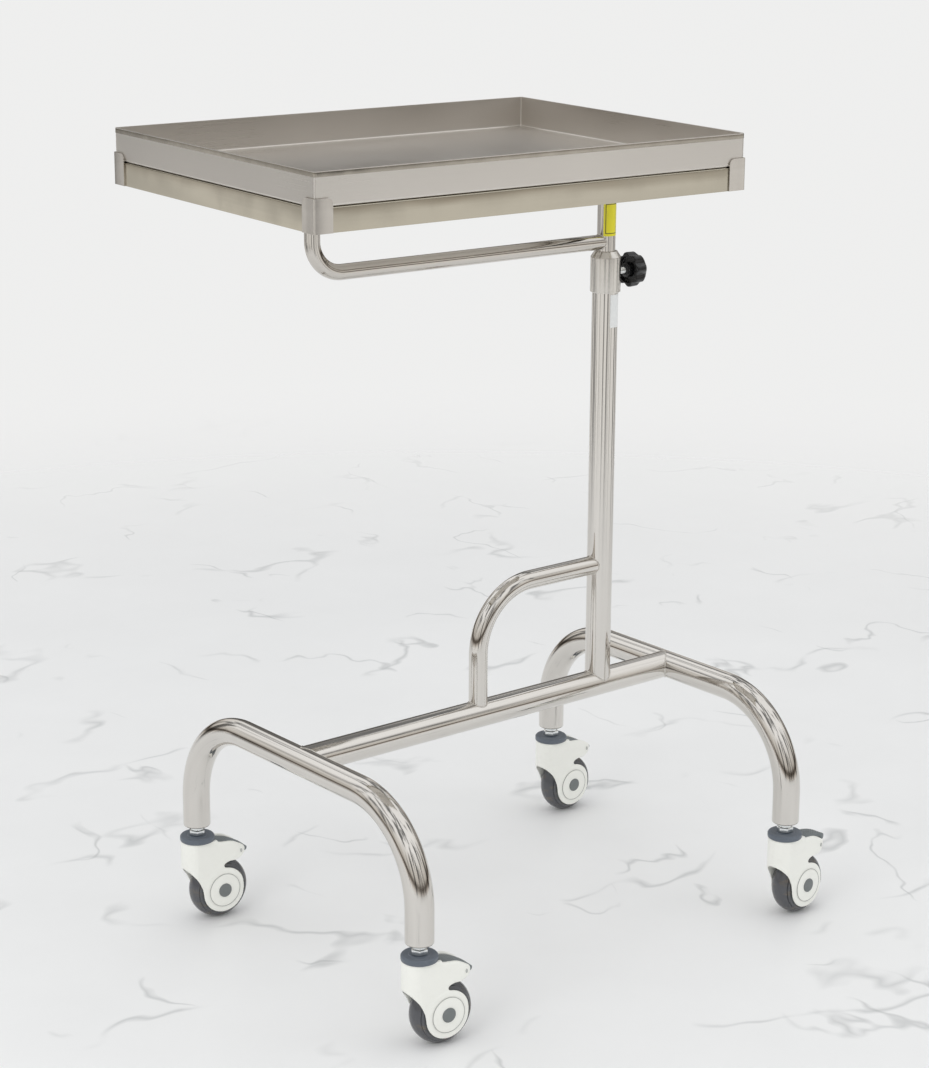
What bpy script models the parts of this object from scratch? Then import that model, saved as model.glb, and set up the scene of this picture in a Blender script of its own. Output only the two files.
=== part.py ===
"""Instrument cart: a height-adjustable steel instrument stand with a removable tray.

Units are metres, +Z is up, and the floor is z = 0 under the four wheels. The beam of the base runs
along X, the two arches run along Y, and the tray hangs out over -X. The stand is modelled about its
post axis, and the last function moves it so that the origin is at the middle of its footprint.
"""

import math

import bmesh
import bpy
from mathutils import Matrix, Vector

GAP = 0.0003  # between two pieces that touch

# Casters: an 80 mm wheel behind a swivel stem
WHEEL_RADIUS = 0.040
TREAD_HALF_WIDTH = 0.015
CORE_RADIUS = 0.0300
CORE_HALF_WIDTH = 0.0145
CROWN_HEIGHT = 0.0100
CROWN_HALF_WIDTH = 0.0145
TREAD_FLANGE = 0.0026
TRAIL = 0.0287
DISC_RADIUS = 0.0300
HOUSING_HALF_WIDTH = 0.0196
WELL_RADIUS = 0.0425
WELL_HALF_WIDTH = 0.0163
NECK_RADIUS = 0.0215
NECK_TOP = 0.1106
NECK_WALL = 0.0025
NECK_HOLLOW_TOP = 0.0800
RING_RADIUS = 0.02235
RING_HEIGHT = 0.0070
STEM_RADIUS = 0.0060
HUB_CAP_RADIUS = 0.0091
HUB_CAP_HEIGHT = 0.0015
AXLE_RADIUS = 0.0040
HEX_CORNER_RADIUS = 0.0108
PEDAL_PIVOT = (0.030, 0.100)  # trail direction, height
PEDAL_HALF_WIDTH = 0.0125
PEDAL_TRAVEL = math.radians(14)
PEDAL_PIN_RADIUS = 0.0021
PEDAL_PIN_HALF_LENGTH = 0.0175
CHANNEL_FLOOR = 0.0940
CHANNEL_FRONT = 0.0158
STEM_LOW = 0.0960
STEM_COLLAR_RADIUS = 0.0082
STEM_COLLAR_HEIGHT = 0.0058

# Base frame: 35 mm tube
FRAME_TUBE = 0.0175
TUBE_WALL = 0.0015
LEFT_ARCH_X = -0.4801
RIGHT_ARCH_X = 0.1238
LEG_Y = 0.2319
BEAM_Z = 0.2866
BEND_RADIUS = 0.1145
LEG_END_Z = 0.1316
PLUG_FLANGE = 0.0014
PLUG_DEPTH = 0.0220
BRACE_TUBE = 0.0120
BRACE_X = -0.2035
BRACE_TOP_Z = 0.4495
BRACE_BEND = 0.0834

# Post, collar and clamp knob
POST_TUBE = 0.0165
POST_TOP = 0.8480
COLLAR_RADIUS = 0.0193
COLLAR_BOTTOM = 0.8083
COLLAR_SHOULDER = 0.8527
COLLAR_TOP = 0.8603
COLLAR_TOP_RADIUS = 0.0143
MAST_TUBE = 0.01175
BUSH_LENGTH = 0.0300
BUSH_FLANGE = 0.0020
KNOB_Z = 0.8319
KNOB_BACK = 0.0364
KNOB_RADIUS = 0.0222
KNOB_THICKNESS = 0.0185
KNOB_HOLLOW_RADIUS = 0.0165
KNOB_HOLLOW_DEPTH = 0.0060
KNOB_LOBES = 8
KNOB_TURN = math.radians(9)
LOBE_DEPTH = 0.16
KNOB_BOSS_RADIUS = 0.0092
KNOB_BOSS_HEIGHT = 0.0056
STUD_RADIUS = 0.0040
STUD_IN_KNOB = 0.0060

# Mast, arm and the frame that holds the tray
SWIVEL = math.radians(-3.94)
MAST_BOTTOM = 0.4500
FOOT_LENGTH = 0.0200
FOOT_SPIGOT = 0.0120
ARM_TUBE = 0.0095
ARM_Z = 0.8718
ARM_END_X = -0.4355
ARM_BEND = 0.0400
RAIL_BOTTOM = 0.9623
RAIL_TOP = 0.9901
RAIL_SHEET = 0.0020
RAIL_SHELF = 0.0240
CORNER_TOP = 1.0006
CORNER_SHEET = 0.0015
CORNER_WIDTH = 0.0225
CORNER_ROUNDING = 0.0070
CORNER_SLACK = 0.0001  # between the tray's wall and the rails' outer face
CROSS_BAR = 0.0200
CROSS_BAR_WALL = 0.0015

# Tray: 600 x 445 mm of folded sheet
TRAY_X = 0.6000
TRAY_Y = 0.4452
TRAY_CENTRE_X = -0.2710
TRAY_RIM = 1.0296
TRAY_SHEET = 0.0010
TRAY_FOLD = 0.0035
TRAY_CORNER = 0.0035
HEM_HEIGHT = 0.0062
HEM_PROUD = 0.0008
HEM_ROUNDING = 0.0005

ROUND = 16  # sides of a round piece
SMALL_ROUND = 12

CASTERS = {
    # name: (x, y, swivel angle, pedal up)
    "front_left": (LEFT_ARCH_X, -LEG_Y, math.radians(-5.5), False),
    "back_left": (LEFT_ARCH_X, LEG_Y, math.radians(-4.2), False),
    "back_right": (RIGHT_ARCH_X, LEG_Y, math.radians(2.0), False),
    "front_right": (RIGHT_ARCH_X, -LEG_Y, math.radians(5.1), True),
}

FINISHES = {
    # name: (colour, roughness, metallic)
    "polished_steel": ((0.62, 0.60, 0.56), 0.15, 1.0),
    "brushed_steel": ((0.55, 0.54, 0.52), 0.35, 1.0),
    "zinc_steel": ((0.60, 0.62, 0.62), 0.30, 1.0),
    "ivory_plastic": ((0.86, 0.86, 0.82), 0.40, 0.0),
    "blue_grey_plastic": ((0.11, 0.14, 0.17), 0.45, 0.0),
    "grey_plastic": ((0.25, 0.28, 0.27), 0.50, 0.0),
    "tread_rubber": ((0.09, 0.09, 0.10), 0.45, 0.0),
    "black_plastic": ((0.01, 0.01, 0.01), 0.35, 0.0),
    "white_nylon": ((0.80, 0.80, 0.77), 0.50, 0.0),
}


def clear_scene():
    for obj in list(bpy.data.objects):
        bpy.data.objects.remove(obj, do_unlink=True)


def make_materials():
    for name, (colour, roughness, metallic) in FINISHES.items():
        material = bpy.data.materials.new(name)
        material.use_nodes = True
        shader = material.node_tree.nodes["Principled BSDF"]
        shader.inputs["Base Color"].default_value = (*colour, 1.0)
        shader.inputs["Roughness"].default_value = roughness
        shader.inputs["Metallic"].default_value = metallic


def add_empty(name, parent=None, location=(0, 0, 0), turn=0.0):
    empty = bpy.data.objects.new(name, None)
    empty.parent = parent
    empty.location = location
    empty.rotation_euler = (0, 0, turn)
    bpy.context.scene.collection.objects.link(empty)
    return empty


def add_piece(name, bm, finish, parent=None, location=(0, 0, 0)):
    """One node: the mesh in bm, with its faces turned outwards and its round parts smooth."""
    bmesh.ops.recalc_face_normals(bm, faces=bm.faces)
    mesh = bpy.data.meshes.new(name)
    bm.to_mesh(mesh)
    bm.free()
    mesh.materials.append(bpy.data.materials[finish])
    mesh.shade_smooth()
    mesh.set_sharp_from_angle(angle=math.radians(35))
    piece = bpy.data.objects.new(name, mesh)
    piece.parent = parent
    piece.location = location
    bpy.context.scene.collection.objects.link(piece)
    return piece


def cut_away(piece, name, bm, operation="DIFFERENCE"):
    """Cuts bm out of a piece. The hidden cutter shares the piece's parent and location."""
    cutter = add_piece(name, bm, "black_plastic", piece.parent, piece.location)
    cutter.hide_render = True
    cutter.display_type = "WIRE"
    modifier = piece.modifiers.new(name, "BOOLEAN")
    modifier.object = cutter
    modifier.operation = operation


def skin_rings(bm, rings, closed=False):
    """Faces between successive rings of the same number of vertices."""
    pairs = list(zip(rings, rings[1:]))
    if closed:
        pairs.append((rings[-1], rings[0]))
    for low, high in pairs:
        for i in range(len(low)):
            j = (i + 1) % len(low)
            bm.faces.new((low[i], low[j], high[j], high[i]))


def bent_path(corners, bend, steps=5):
    """(point, direction) along a centreline that turns each inner corner on an arc of radius bend."""
    corners = [Vector(corner) for corner in corners]
    path = [(corners[0], (corners[1] - corners[0]).normalized())]
    for before, corner, after in zip(corners, corners[1:], corners[2:]):
        way_in = (corner - before).normalized()
        way_out = (after - corner).normalized()
        angle = way_in.angle(way_out)
        start = corner - way_in * bend * math.tan(angle / 2)
        inward = (way_out - way_in * way_in.dot(way_out)).normalized()
        for step in range(steps + 1):
            turn = angle * step / steps
            point = start + way_in * bend * math.sin(turn) + inward * bend * (1 - math.cos(turn))
            path.append((point, way_in * math.cos(turn) + inward * math.sin(turn)))
    path.append((corners[-1], (corners[-1] - corners[-2]).normalized()))
    return path


def tube(path, radius, wall, start=None, end=None, sides=ROUND):
    """A hollow tube along a flat path.

    start and end are (axis, radius) of a round tube that this one is saddle-cut to meet. That end
    of the path then lies on the other tube's axis.
    """
    bm = bmesh.new()
    first, last = path[0][1], path[-1][1]
    flat_normal = first.cross(last)
    if flat_normal.length < 1e-6:
        flat_normal = first.orthogonal()
    flat_normal.normalize()
    ends = {0: (start, 1), len(path) - 1: (end, -1)}
    shells = []
    for ring_radius in (radius, radius - wall):
        rings = []
        for index, (point, direction) in enumerate(path):
            side = direction.cross(flat_normal)
            saddle, sign = ends.get(index, (None, 0))
            ring = []
            for i in range(sides):
                turn = 2 * math.pi * i / sides
                offset = (flat_normal * math.cos(turn) + side * math.sin(turn)) * ring_radius
                place = point + offset
                if saddle:
                    axis, other_radius = saddle
                    across = offset.dot(direction.cross(Vector(axis)))
                    place += direction * sign * math.sqrt((other_radius + GAP) ** 2 - across**2)
                ring.append(bm.verts.new(place))
            rings.append(ring)
        skin_rings(bm, rings)
        shells.append(rings)
    outer, inner = shells
    skin_rings(bm, [outer[0], inner[0]])
    skin_rings(bm, [outer[-1], inner[-1]])
    return bm


def turned(profile, steps=ROUND, axis="Z", hollow=False, radius_at=None):
    """A solid of revolution. profile is (radius, height) points, each with a radius over zero.

    A hollow one has a closed profile. Otherwise its two ends are capped. radius_at(index, turn)
    scales a point's radius, for a hexagon or a lobed edge.
    """
    bm = bmesh.new()
    rings = []
    for index, (radius, height) in enumerate(profile):
        ring = []
        for i in range(steps):
            turn = 2 * math.pi * i / steps
            reach = radius * (radius_at(index, turn) if radius_at else 1.0)
            ring.append(bm.verts.new((reach * math.cos(turn), reach * math.sin(turn), height)))
        rings.append(ring)
    skin_rings(bm, rings, closed=hollow)
    if not hollow:
        bm.faces.new(rings[0])
        bm.faces.new(rings[-1])
    if axis != "Z":
        bm.transform(Matrix.Rotation(math.pi / 2, 4, "X" if axis == "Y" else "Y"))
    return bm


def rod(radius, low, high, axis="Z", steps=SMALL_ROUND):
    return turned([(radius, low), (radius, high)], steps, axis)


def side_slab(outline, half_width):
    """A slab between y = -half_width and +half_width, from an outline of (x, z) points."""
    bm = bmesh.new()
    near = [bm.verts.new((x, -half_width, z)) for x, z in outline]
    far = [bm.verts.new((x, half_width, z)) for x, z in outline]
    skin_rings(bm, [near, far])
    bm.faces.new(near)
    bm.faces.new(far)
    return bm


def plan_slab(outline, low, high):
    """A slab between two heights, from an outline of (x, y) points."""
    bm = bmesh.new()
    bottom = [bm.verts.new((x, y, low)) for x, y in outline]
    top = [bm.verts.new((x, y, high)) for x, y in outline]
    skin_rings(bm, [bottom, top])
    bm.faces.new(bottom)
    bm.faces.new(top)
    return bm


def arc(centre, radius, start_degrees, end_degrees, steps):
    points = []
    for step in range(steps + 1):
        turn = math.radians(start_degrees + (end_degrees - start_degrees) * step / steps)
        points.append((centre[0] + radius * math.cos(turn), centre[1] + radius * math.sin(turn)))
    return points


def curve_through(points, steps):
    """A smooth open curve (Catmull-Rom) through a few hand-placed points."""
    ends = [points[0], *points, points[-1]]
    curve = []
    for p0, p1, p2, p3 in zip(ends, ends[1:], ends[2:], ends[3:]):
        for step in range(steps):
            t = step / steps
            curve.append(
                tuple(
                    b
                    + 0.5 * (c - a) * t
                    + 0.5 * (2 * a - 5 * b + 4 * c - d) * t**2
                    + 0.5 * (3 * b - a - 3 * c + d) * t**3
                    for a, b, c, d in zip(p0, p1, p2, p3)
                )
            )
    return [*curve, points[-1]]


# Base frame


def make_arch(name, x, parent):
    """An inverted U of tube whose two legs end in plugs for the casters."""
    leg_end = LEG_END_Z + PLUG_FLANGE + GAP
    corners = [(x, -LEG_Y, leg_end), (x, -LEG_Y, BEAM_Z), (x, LEG_Y, BEAM_Z), (x, LEG_Y, leg_end)]
    add_piece(name, tube(bent_path(corners, BEND_RADIUS), FRAME_TUBE, TUBE_WALL), "polished_steel", parent)


def make_crossbar(parent):
    """The straight beam, saddle-cut at both ends to the arches."""
    saddle = ((0, 1, 0), FRAME_TUBE)
    path = bent_path([(LEFT_ARCH_X, 0, BEAM_Z), (RIGHT_ARCH_X, 0, BEAM_Z)], 0)
    add_piece("crossbar", tube(path, FRAME_TUBE, TUBE_WALL, saddle, saddle), "polished_steel", parent)


def make_brace(parent):
    """The quarter-bend gusset tube from the beam to the post."""
    corners = [(BRACE_X, 0, BEAM_Z), (BRACE_X, 0, BRACE_TOP_Z), (0, 0, BRACE_TOP_Z)]
    path = bent_path(corners, BRACE_BEND)
    saddles = ((1, 0, 0), FRAME_TUBE), ((0, 0, 1), POST_TUBE)
    add_piece("brace", tube(path, BRACE_TUBE, TUBE_WALL, *saddles, SMALL_ROUND), "polished_steel", parent)


def make_post(parent):
    path = bent_path([(0, 0, BEAM_Z), (0, 0, POST_TOP)], 0)
    steel_tube = tube(path, POST_TUBE, TUBE_WALL, ((1, 0, 0), FRAME_TUBE))
    post = add_piece("post", steel_tube, "polished_steel", parent)
    cut_away(post, "post_stud_hole", stud_hole())


def stud_hole():
    """The way through for the clamp stud, on the +X side only."""
    bm = rod(STUD_RADIUS + GAP, STUD_RADIUS / 2, 1.2 * COLLAR_RADIUS, "X")
    bm.transform(Matrix.Translation((0, 0, KNOB_Z)))
    return bm


def make_collar(parent):
    """The turned collar on top of the post, with a cone above and the clamp's threaded hole."""
    over_post = POST_TUBE + GAP
    over_mast = MAST_TUBE + GAP
    over_flange = POST_TOP + BUSH_FLANGE + GAP
    profile = [
        (over_post, COLLAR_BOTTOM),
        (COLLAR_RADIUS, COLLAR_BOTTOM),
        (COLLAR_RADIUS, COLLAR_SHOULDER),
        (COLLAR_TOP_RADIUS, COLLAR_TOP),
        (over_mast, COLLAR_TOP),
        (over_mast, over_flange),
        (over_post, over_flange),
    ]
    collar = add_piece("collar", turned(profile, hollow=True), "brushed_steel", parent)
    cut_away(collar, "collar_stud_hole", stud_hole())


def make_guide_bush(parent):
    """The nylon bush that centres the mast in the top of the post."""
    flange_low, flange_high = POST_TOP + GAP, POST_TOP + BUSH_FLANGE
    inner, outer, flange = MAST_TUBE + GAP, POST_TUBE - TUBE_WALL - GAP, POST_TUBE - GAP
    profile = [
        (inner, POST_TOP - BUSH_LENGTH),
        (outer, POST_TOP - BUSH_LENGTH),
        (outer, flange_low),
        (flange, flange_low),
        (flange, flange_high),
        (inner, flange_high),
    ]
    bush = add_piece("guide_bush", turned(profile, ROUND, hollow=True), "white_nylon", parent)
    cut_away(bush, "bush_stud_hole", stud_hole())


def make_knob(parent):
    """The star knob and the stud that it turns, both centred on the stud's axis."""
    start = MAST_TUBE + GAP
    stud_end = KNOB_BACK + STUD_IN_KNOB
    tip = 0.15 * STUD_RADIUS
    profile = [(STUD_RADIUS - tip, start), (STUD_RADIUS, start + tip), (STUD_RADIUS, stud_end)]
    stud = turned(profile, SMALL_ROUND, "X")
    add_piece("knob_stud", stud, "zinc_steel", parent, (0, 0, KNOB_Z))
    bore, boss_back = STUD_RADIUS + GAP, KNOB_BACK - KNOB_BOSS_HEIGHT
    front, hollow_floor = KNOB_BACK + KNOB_THICKNESS, KNOB_BACK + KNOB_HOLLOW_DEPTH
    profile = [
        (bore, boss_back),
        (KNOB_BOSS_RADIUS, boss_back),
        (KNOB_BOSS_RADIUS, hollow_floor),
        (KNOB_HOLLOW_RADIUS, hollow_floor),
        (KNOB_HOLLOW_RADIUS, KNOB_BACK),
        (KNOB_RADIUS * 0.96, KNOB_BACK),
        (KNOB_RADIUS, KNOB_BACK + 0.0020),
        (KNOB_RADIUS, front - 0.0050),
        (KNOB_RADIUS * 0.78, front),
        (STUD_RADIUS, front),
        (STUD_RADIUS, stud_end + GAP),
        (bore, stud_end + GAP),
    ]
    lobed = range(5, 9)

    def lobes(index, turn):
        """One at each lobe's tip and least in the notches between them."""
        notch = (1 - math.cos(KNOB_LOBES * (turn + KNOB_TURN))) / 2
        return 1 - LOBE_DEPTH * notch if index in lobed else 1.0

    knob = turned(profile, KNOB_LOBES * 4, "X", hollow=True, radius_at=lobes)
    add_piece("knob", knob, "black_plastic", parent, (0, 0, KNOB_Z))


# Mast, arm and tray frame, all turned together about the mast axis


def make_mast(parent):
    top = cross_bar_heights()[0] - GAP
    path = bent_path([(0, 0, MAST_BOTTOM), (0, 0, top)], 0)
    add_piece("mast", tube(path, MAST_TUBE, TUBE_WALL), "polished_steel", parent)


def make_mast_foot(parent):
    """The nylon plug under the mast, which slides in the post."""
    slide = POST_TUBE - TUBE_WALL - GAP
    spigot = MAST_TUBE - TUBE_WALL - GAP
    shoulder = MAST_BOTTOM - GAP
    profile = [
        (slide - 0.001, shoulder - FOOT_LENGTH),
        (slide, shoulder - FOOT_LENGTH + 0.001),
        (slide, shoulder),
        (spigot, shoulder),
        (spigot, shoulder + FOOT_SPIGOT),
    ]
    add_piece("mast_foot", turned(profile, ROUND), "white_nylon", parent)


def make_support_arm(parent):
    """The arm that leaves the mast over the collar and turns up under the far end of the tray frame."""
    top = cross_bar_heights()[0] - GAP
    path = bent_path([(0, 0, ARM_Z), (ARM_END_X, 0, ARM_Z), (ARM_END_X, 0, top)], ARM_BEND)
    arm = tube(path, ARM_TUBE, TUBE_WALL, start=((0, 0, 1), MAST_TUBE), sides=SMALL_ROUND)
    add_piece("support_arm", arm, "polished_steel", parent)


def cross_bar_heights():
    """The lower and upper face of the bars under the rails' shelves."""
    high = RAIL_TOP - RAIL_SHEET - GAP
    return high - CROSS_BAR, high


def make_cross_bar(name, x, parent):
    """A square tube across the tray frame, open at its ends."""
    low, high = cross_bar_heights()
    reach = TRAY_Y / 2 - RAIL_SHEET - GAP
    middle = (low + high) / 2
    bm = bmesh.new()
    shells = []
    for half in (CROSS_BAR / 2, CROSS_BAR / 2 - CROSS_BAR_WALL):
        square = [(-half, -half), (half, -half), (half, half), (-half, half)]
        rings = [[bm.verts.new((x + a, y, middle + b)) for a, b in square] for y in (-reach, reach)]
        skin_rings(bm, rings)
        shells.append(rings)
    skin_rings(bm, [shells[0][0], shells[1][0]])
    skin_rings(bm, [shells[0][1], shells[1][1]])
    add_piece(name, bm, "brushed_steel", parent)


def make_rails(parent):
    """Four angle rails, mitred at the corners: an upright face outside and a shelf under the tray."""
    half_x, half_y = TRAY_X / 2 + CORNER_SLACK, TRAY_Y / 2 + CORNER_SLACK
    angle = [
        (0, RAIL_BOTTOM),
        (0, RAIL_TOP),
        (RAIL_SHELF, RAIL_TOP),
        (RAIL_SHELF, RAIL_TOP - RAIL_SHEET),
        (RAIL_SHEET, RAIL_TOP - RAIL_SHEET),
        (RAIL_SHEET, RAIL_BOTTOM),
    ]
    sides = {
        # name: (outward direction, half length, distance from the middle)
        "front": ((0, -1), half_x, half_y),
        "back": ((0, 1), half_x, half_y),
        "left": ((-1, 0), half_y, half_x),
        "right": ((1, 0), half_y, half_x),
    }
    for side, (outward, half_length, distance) in sides.items():
        along = (-outward[1], outward[0])
        bm = bmesh.new()
        rings = []
        for end in (-1, 1):
            ring = []
            for inset, z in angle:
                reach = end * (half_length - inset - GAP)
                out = distance - inset
                x = TRAY_CENTRE_X + outward[0] * out + along[0] * reach
                ring.append(bm.verts.new((x, outward[1] * out + along[1] * reach, z)))
            rings.append(ring)
        skin_rings(bm, rings)
        bm.faces.new(rings[0])
        bm.faces.new(rings[1])
        add_piece(f"rail_{side}", bm, "polished_steel", parent)


def make_corner(name, side_x, side_y, parent):
    """An angle plate round a corner of the frame, standing up past the tray's wall to hold the tray."""
    inner = CORNER_SLACK + GAP
    outer = inner + CORNER_SHEET
    rounding = arc((CORNER_WIDTH - CORNER_ROUNDING, CORNER_TOP - CORNER_ROUNDING), CORNER_ROUNDING, 0, 90, 4)
    bm = bmesh.new()
    rings = []

    def station(along_x, along_y, top):
        """The plate's section where it is this far from the corner, on one of its two wings."""
        ring = []
        for depth in (outer, inner):
            x = TRAY_CENTRE_X + side_x * (TRAY_X / 2 + depth - (along_x + depth if along_x else 0))
            y = side_y * (TRAY_Y / 2 + depth - (along_y + depth if along_y else 0))
            heights = (RAIL_BOTTOM, top) if depth == outer else (top, RAIL_BOTTOM)
            ring.extend(bm.verts.new((x, y, z)) for z in heights)
        rings.append(ring)

    for along, top in rounding:
        station(along, 0, top)
    station(0, 0, CORNER_TOP)
    for along, top in reversed(rounding):
        station(0, along, top)
    skin_rings(bm, rings)
    bm.faces.new(rings[0])
    bm.faces.new(rings[-1])
    add_piece(name, bm, "polished_steel", parent)


def rectangle_ring(bm, inset, z, corner):
    """A ring of vertices round the tray at an inset from its outer wall."""
    radius = max(corner - inset, 0.0008)
    half_x, half_y = TRAY_X / 2 - inset - radius, TRAY_Y / 2 - inset - radius
    ring = []
    for quarter, (sx, sy) in enumerate(((1, 1), (-1, 1), (-1, -1), (1, -1))):
        for x, y in arc((sx * half_x, sy * half_y), radius, 90 * quarter, 90 * quarter + 90, 3):
            ring.append(bm.verts.new((x + TRAY_CENTRE_X, y, z)))
    return ring


def make_tray(parent):
    """The loose tray: folded sheet with rounded floor folds and a hem turned out round the rim."""
    under = RAIL_TOP + GAP
    floor = under + TRAY_SHEET
    hem_low = TRAY_RIM - HEM_HEIGHT
    bm = bmesh.new()
    profile = [(TRAY_FOLD * (1 - math.sin(a)), under + TRAY_FOLD * (1 - math.cos(a))) for a in fold_angles()]
    profile += [
        (0, hem_low),
        (-HEM_PROUD, hem_low),
        (-HEM_PROUD, TRAY_RIM - HEM_ROUNDING),
        (HEM_ROUNDING - HEM_PROUD, TRAY_RIM),
        (TRAY_SHEET - HEM_ROUNDING, TRAY_RIM),
        (TRAY_SHEET, TRAY_RIM - HEM_ROUNDING),
    ]
    inside = TRAY_FOLD - TRAY_SHEET
    profile += [
        (TRAY_FOLD - inside * math.sin(a), floor + inside * (1 - math.cos(a)))
        for a in reversed(fold_angles())
    ]
    rings = [rectangle_ring(bm, inset, z, TRAY_CORNER) for inset, z in profile]
    skin_rings(bm, rings)
    bm.faces.new(rings[0])
    bm.faces.new(rings[-1])
    add_piece("tray", bm, "brushed_steel", parent)


def fold_angles():
    return [math.radians(30 * step) for step in range(4)]


# Casters. Each is modelled with its stem on the Z axis and its wheel towards +X.


def make_leg_insert(name, parent):
    """The plug welded in the leg's end, with the hole for the caster's stem."""
    bore = STEM_RADIUS + GAP
    in_tube = FRAME_TUBE - TUBE_WALL - GAP
    flange_top = LEG_END_Z + PLUG_FLANGE
    profile = [
        (bore, LEG_END_Z),
        (FRAME_TUBE - 0.0014, LEG_END_Z),
        (FRAME_TUBE - 0.0004, LEG_END_Z + 0.0006),
        (FRAME_TUBE - 0.0002, flange_top),
        (in_tube, flange_top),
        (in_tube, LEG_END_Z + PLUG_DEPTH),
        (bore, LEG_END_Z + PLUG_DEPTH),
    ]
    add_piece(name, turned(profile, ROUND, hollow=True), "polished_steel", parent)


def make_stem(name, parent):
    """The threaded stem with its spanner hexagon, screwed up into the leg."""
    hex_low, hex_high = NECK_TOP + GAP + RING_HEIGHT + 0.0008, LEG_END_Z - STEM_COLLAR_HEIGHT
    profile = [
        (STEM_RADIUS, STEM_LOW),
        (STEM_RADIUS, hex_low),
        (HEX_CORNER_RADIUS, hex_low),
        (HEX_CORNER_RADIUS, hex_high),
        (STEM_COLLAR_RADIUS, hex_high),
        (STEM_COLLAR_RADIUS, LEG_END_Z - GAP),
        (STEM_RADIUS, LEG_END_Z - GAP),
        (STEM_RADIUS, LEG_END_Z + PLUG_DEPTH - 0.002),
    ]

    def hexagon(index, turn):
        if index not in (2, 3):
            return 1.0
        flat = turn % math.radians(60) - math.radians(30)
        return math.cos(math.radians(30)) / math.cos(flat)

    add_piece(name, turned(profile, SMALL_ROUND, radius_at=hexagon), "zinc_steel", parent)


def make_swivel_ring(name, parent):
    """The bearing cover on top of the housing's neck."""
    low = NECK_TOP + GAP
    high = low + RING_HEIGHT
    bore = STEM_RADIUS + GAP
    profile = [
        (bore, low),
        (RING_RADIUS, low),
        (RING_RADIUS, high - 0.0012),
        (RING_RADIUS - 0.0012, high),
        (0.0100, high),
        (0.0098, high + 0.0005),
        (bore, high + 0.0005),
    ]
    add_piece(name, turned(profile, hollow=True), "blue_grey_plastic", parent)


def housing_outline():
    """The housing from the side: neck, hood over the wheel, and the round cheek at the axle."""
    hood_top = [(0.0195, NECK_TOP), (0.0212, 0.1080), (0.0263, 0.1064), (0.0418, 0.1042), (0.0528, 0.0990)]
    hood_top += [(0.0585, 0.0950)]
    hood_end = [(0.0612, 0.0915), (0.0606, 0.0858), (0.0560, 0.0812)]
    hood_under = [(0.0458, 0.0777), (0.0380, 0.0777), (0.0315, 0.0757), (0.0292, 0.0730)]
    cheek = arc((TRAIL, WHEEL_RADIUS), DISC_RADIUS, 84, -178, 14)
    front = [(-0.0030, 0.0475), (-0.0085, 0.0588), (-0.0160, 0.0690), (-NECK_RADIUS, 0.0745)]
    front = curve_through(front, 3)
    return [(-NECK_RADIUS, NECK_TOP), *hood_top, *hood_end, *hood_under, *cheek, *front]


def housing_plan():
    """The housing from above: a round neck in front and a narrower tail behind."""
    front = arc((0, 0), NECK_RADIUS, 180 - 65.7, 180 + 65.7, 8)
    tail = [(0.0440, -HOUSING_HALF_WIDTH), (0.0560, -0.0180), (0.0615, -0.0150)]
    return [*front, *tail, *[(x, -y) for x, y in reversed(tail)]]


def make_housing(name, parent):
    slab = side_slab(housing_outline(), HOUSING_HALF_WIDTH + 0.003)
    housing = add_piece(name, slab, "ivory_plastic", parent)
    plan = plan_slab(housing_plan(), 0, NECK_TOP + 0.010)
    cut_away(housing, f"{name}_plan", plan, "INTERSECT")
    well = rod(WELL_RADIUS, -WELL_HALF_WIDTH, WELL_HALF_WIDTH, "Y", 24)
    well.transform(Matrix.Translation((TRAIL, 0, WHEEL_RADIUS)))
    cut_away(housing, f"{name}_well", well)
    inside = NECK_RADIUS - NECK_WALL
    edge = math.degrees(math.asin(WELL_HALF_WIDTH / inside))
    hollow = arc((0, 0), inside, 180 - edge, 180 + edge, 6)
    hollow += [(0.0120, -WELL_HALF_WIDTH), (0.0120, WELL_HALF_WIDTH)]
    cut_away(housing, f"{name}_hollow", plan_slab(hollow, 0, NECK_HOLLOW_TOP))
    above, behind = NECK_TOP + 0.0150, 0.0700
    channel = [
        (CHANNEL_FRONT, CHANNEL_FLOOR),
        (0.0440, CHANNEL_FLOOR),
        (0.0520, 0.0870),
        (0.0600, 0.0825),
        (behind, 0.0800),
        (behind, above),
        (CHANNEL_FRONT, above),
    ]
    cut_away(housing, f"{name}_channel", side_slab(channel, PEDAL_HALF_WIDTH + 0.0008))
    cut_away(housing, f"{name}_stem_bore", rod(STEM_RADIUS + GAP, STEM_LOW - 0.0015, above))
    for hole, radius, (x, z) in (
        ("axle_hole", AXLE_RADIUS + GAP, (TRAIL, WHEEL_RADIUS)),
        ("pedal_hole", PEDAL_PIN_RADIUS + GAP, PEDAL_PIVOT),
    ):
        pin = rod(radius, -2 * HOUSING_HALF_WIDTH, 2 * HOUSING_HALF_WIDTH, "Y")
        pin.transform(Matrix.Translation((x, 0, z)))
        cut_away(housing, f"{name}_{hole}", pin)


def make_axle(name, parent):
    """The wheel's pin, with a flat cap outside each cheek."""
    cap_low, cap_high = HOUSING_HALF_WIDTH + GAP, HOUSING_HALF_WIDTH + HUB_CAP_HEIGHT
    half = [
        (HUB_CAP_RADIUS - 0.0005, cap_high),
        (HUB_CAP_RADIUS, cap_high - 0.0005),
        (HUB_CAP_RADIUS, cap_low),
        (AXLE_RADIUS, cap_low),
    ]
    profile = half + [(radius, -y) for radius, y in reversed(half)]
    add_piece(name, turned(profile, SMALL_ROUND, "Y"), "grey_plastic", parent, (TRAIL, 0, WHEEL_RADIUS))


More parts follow.
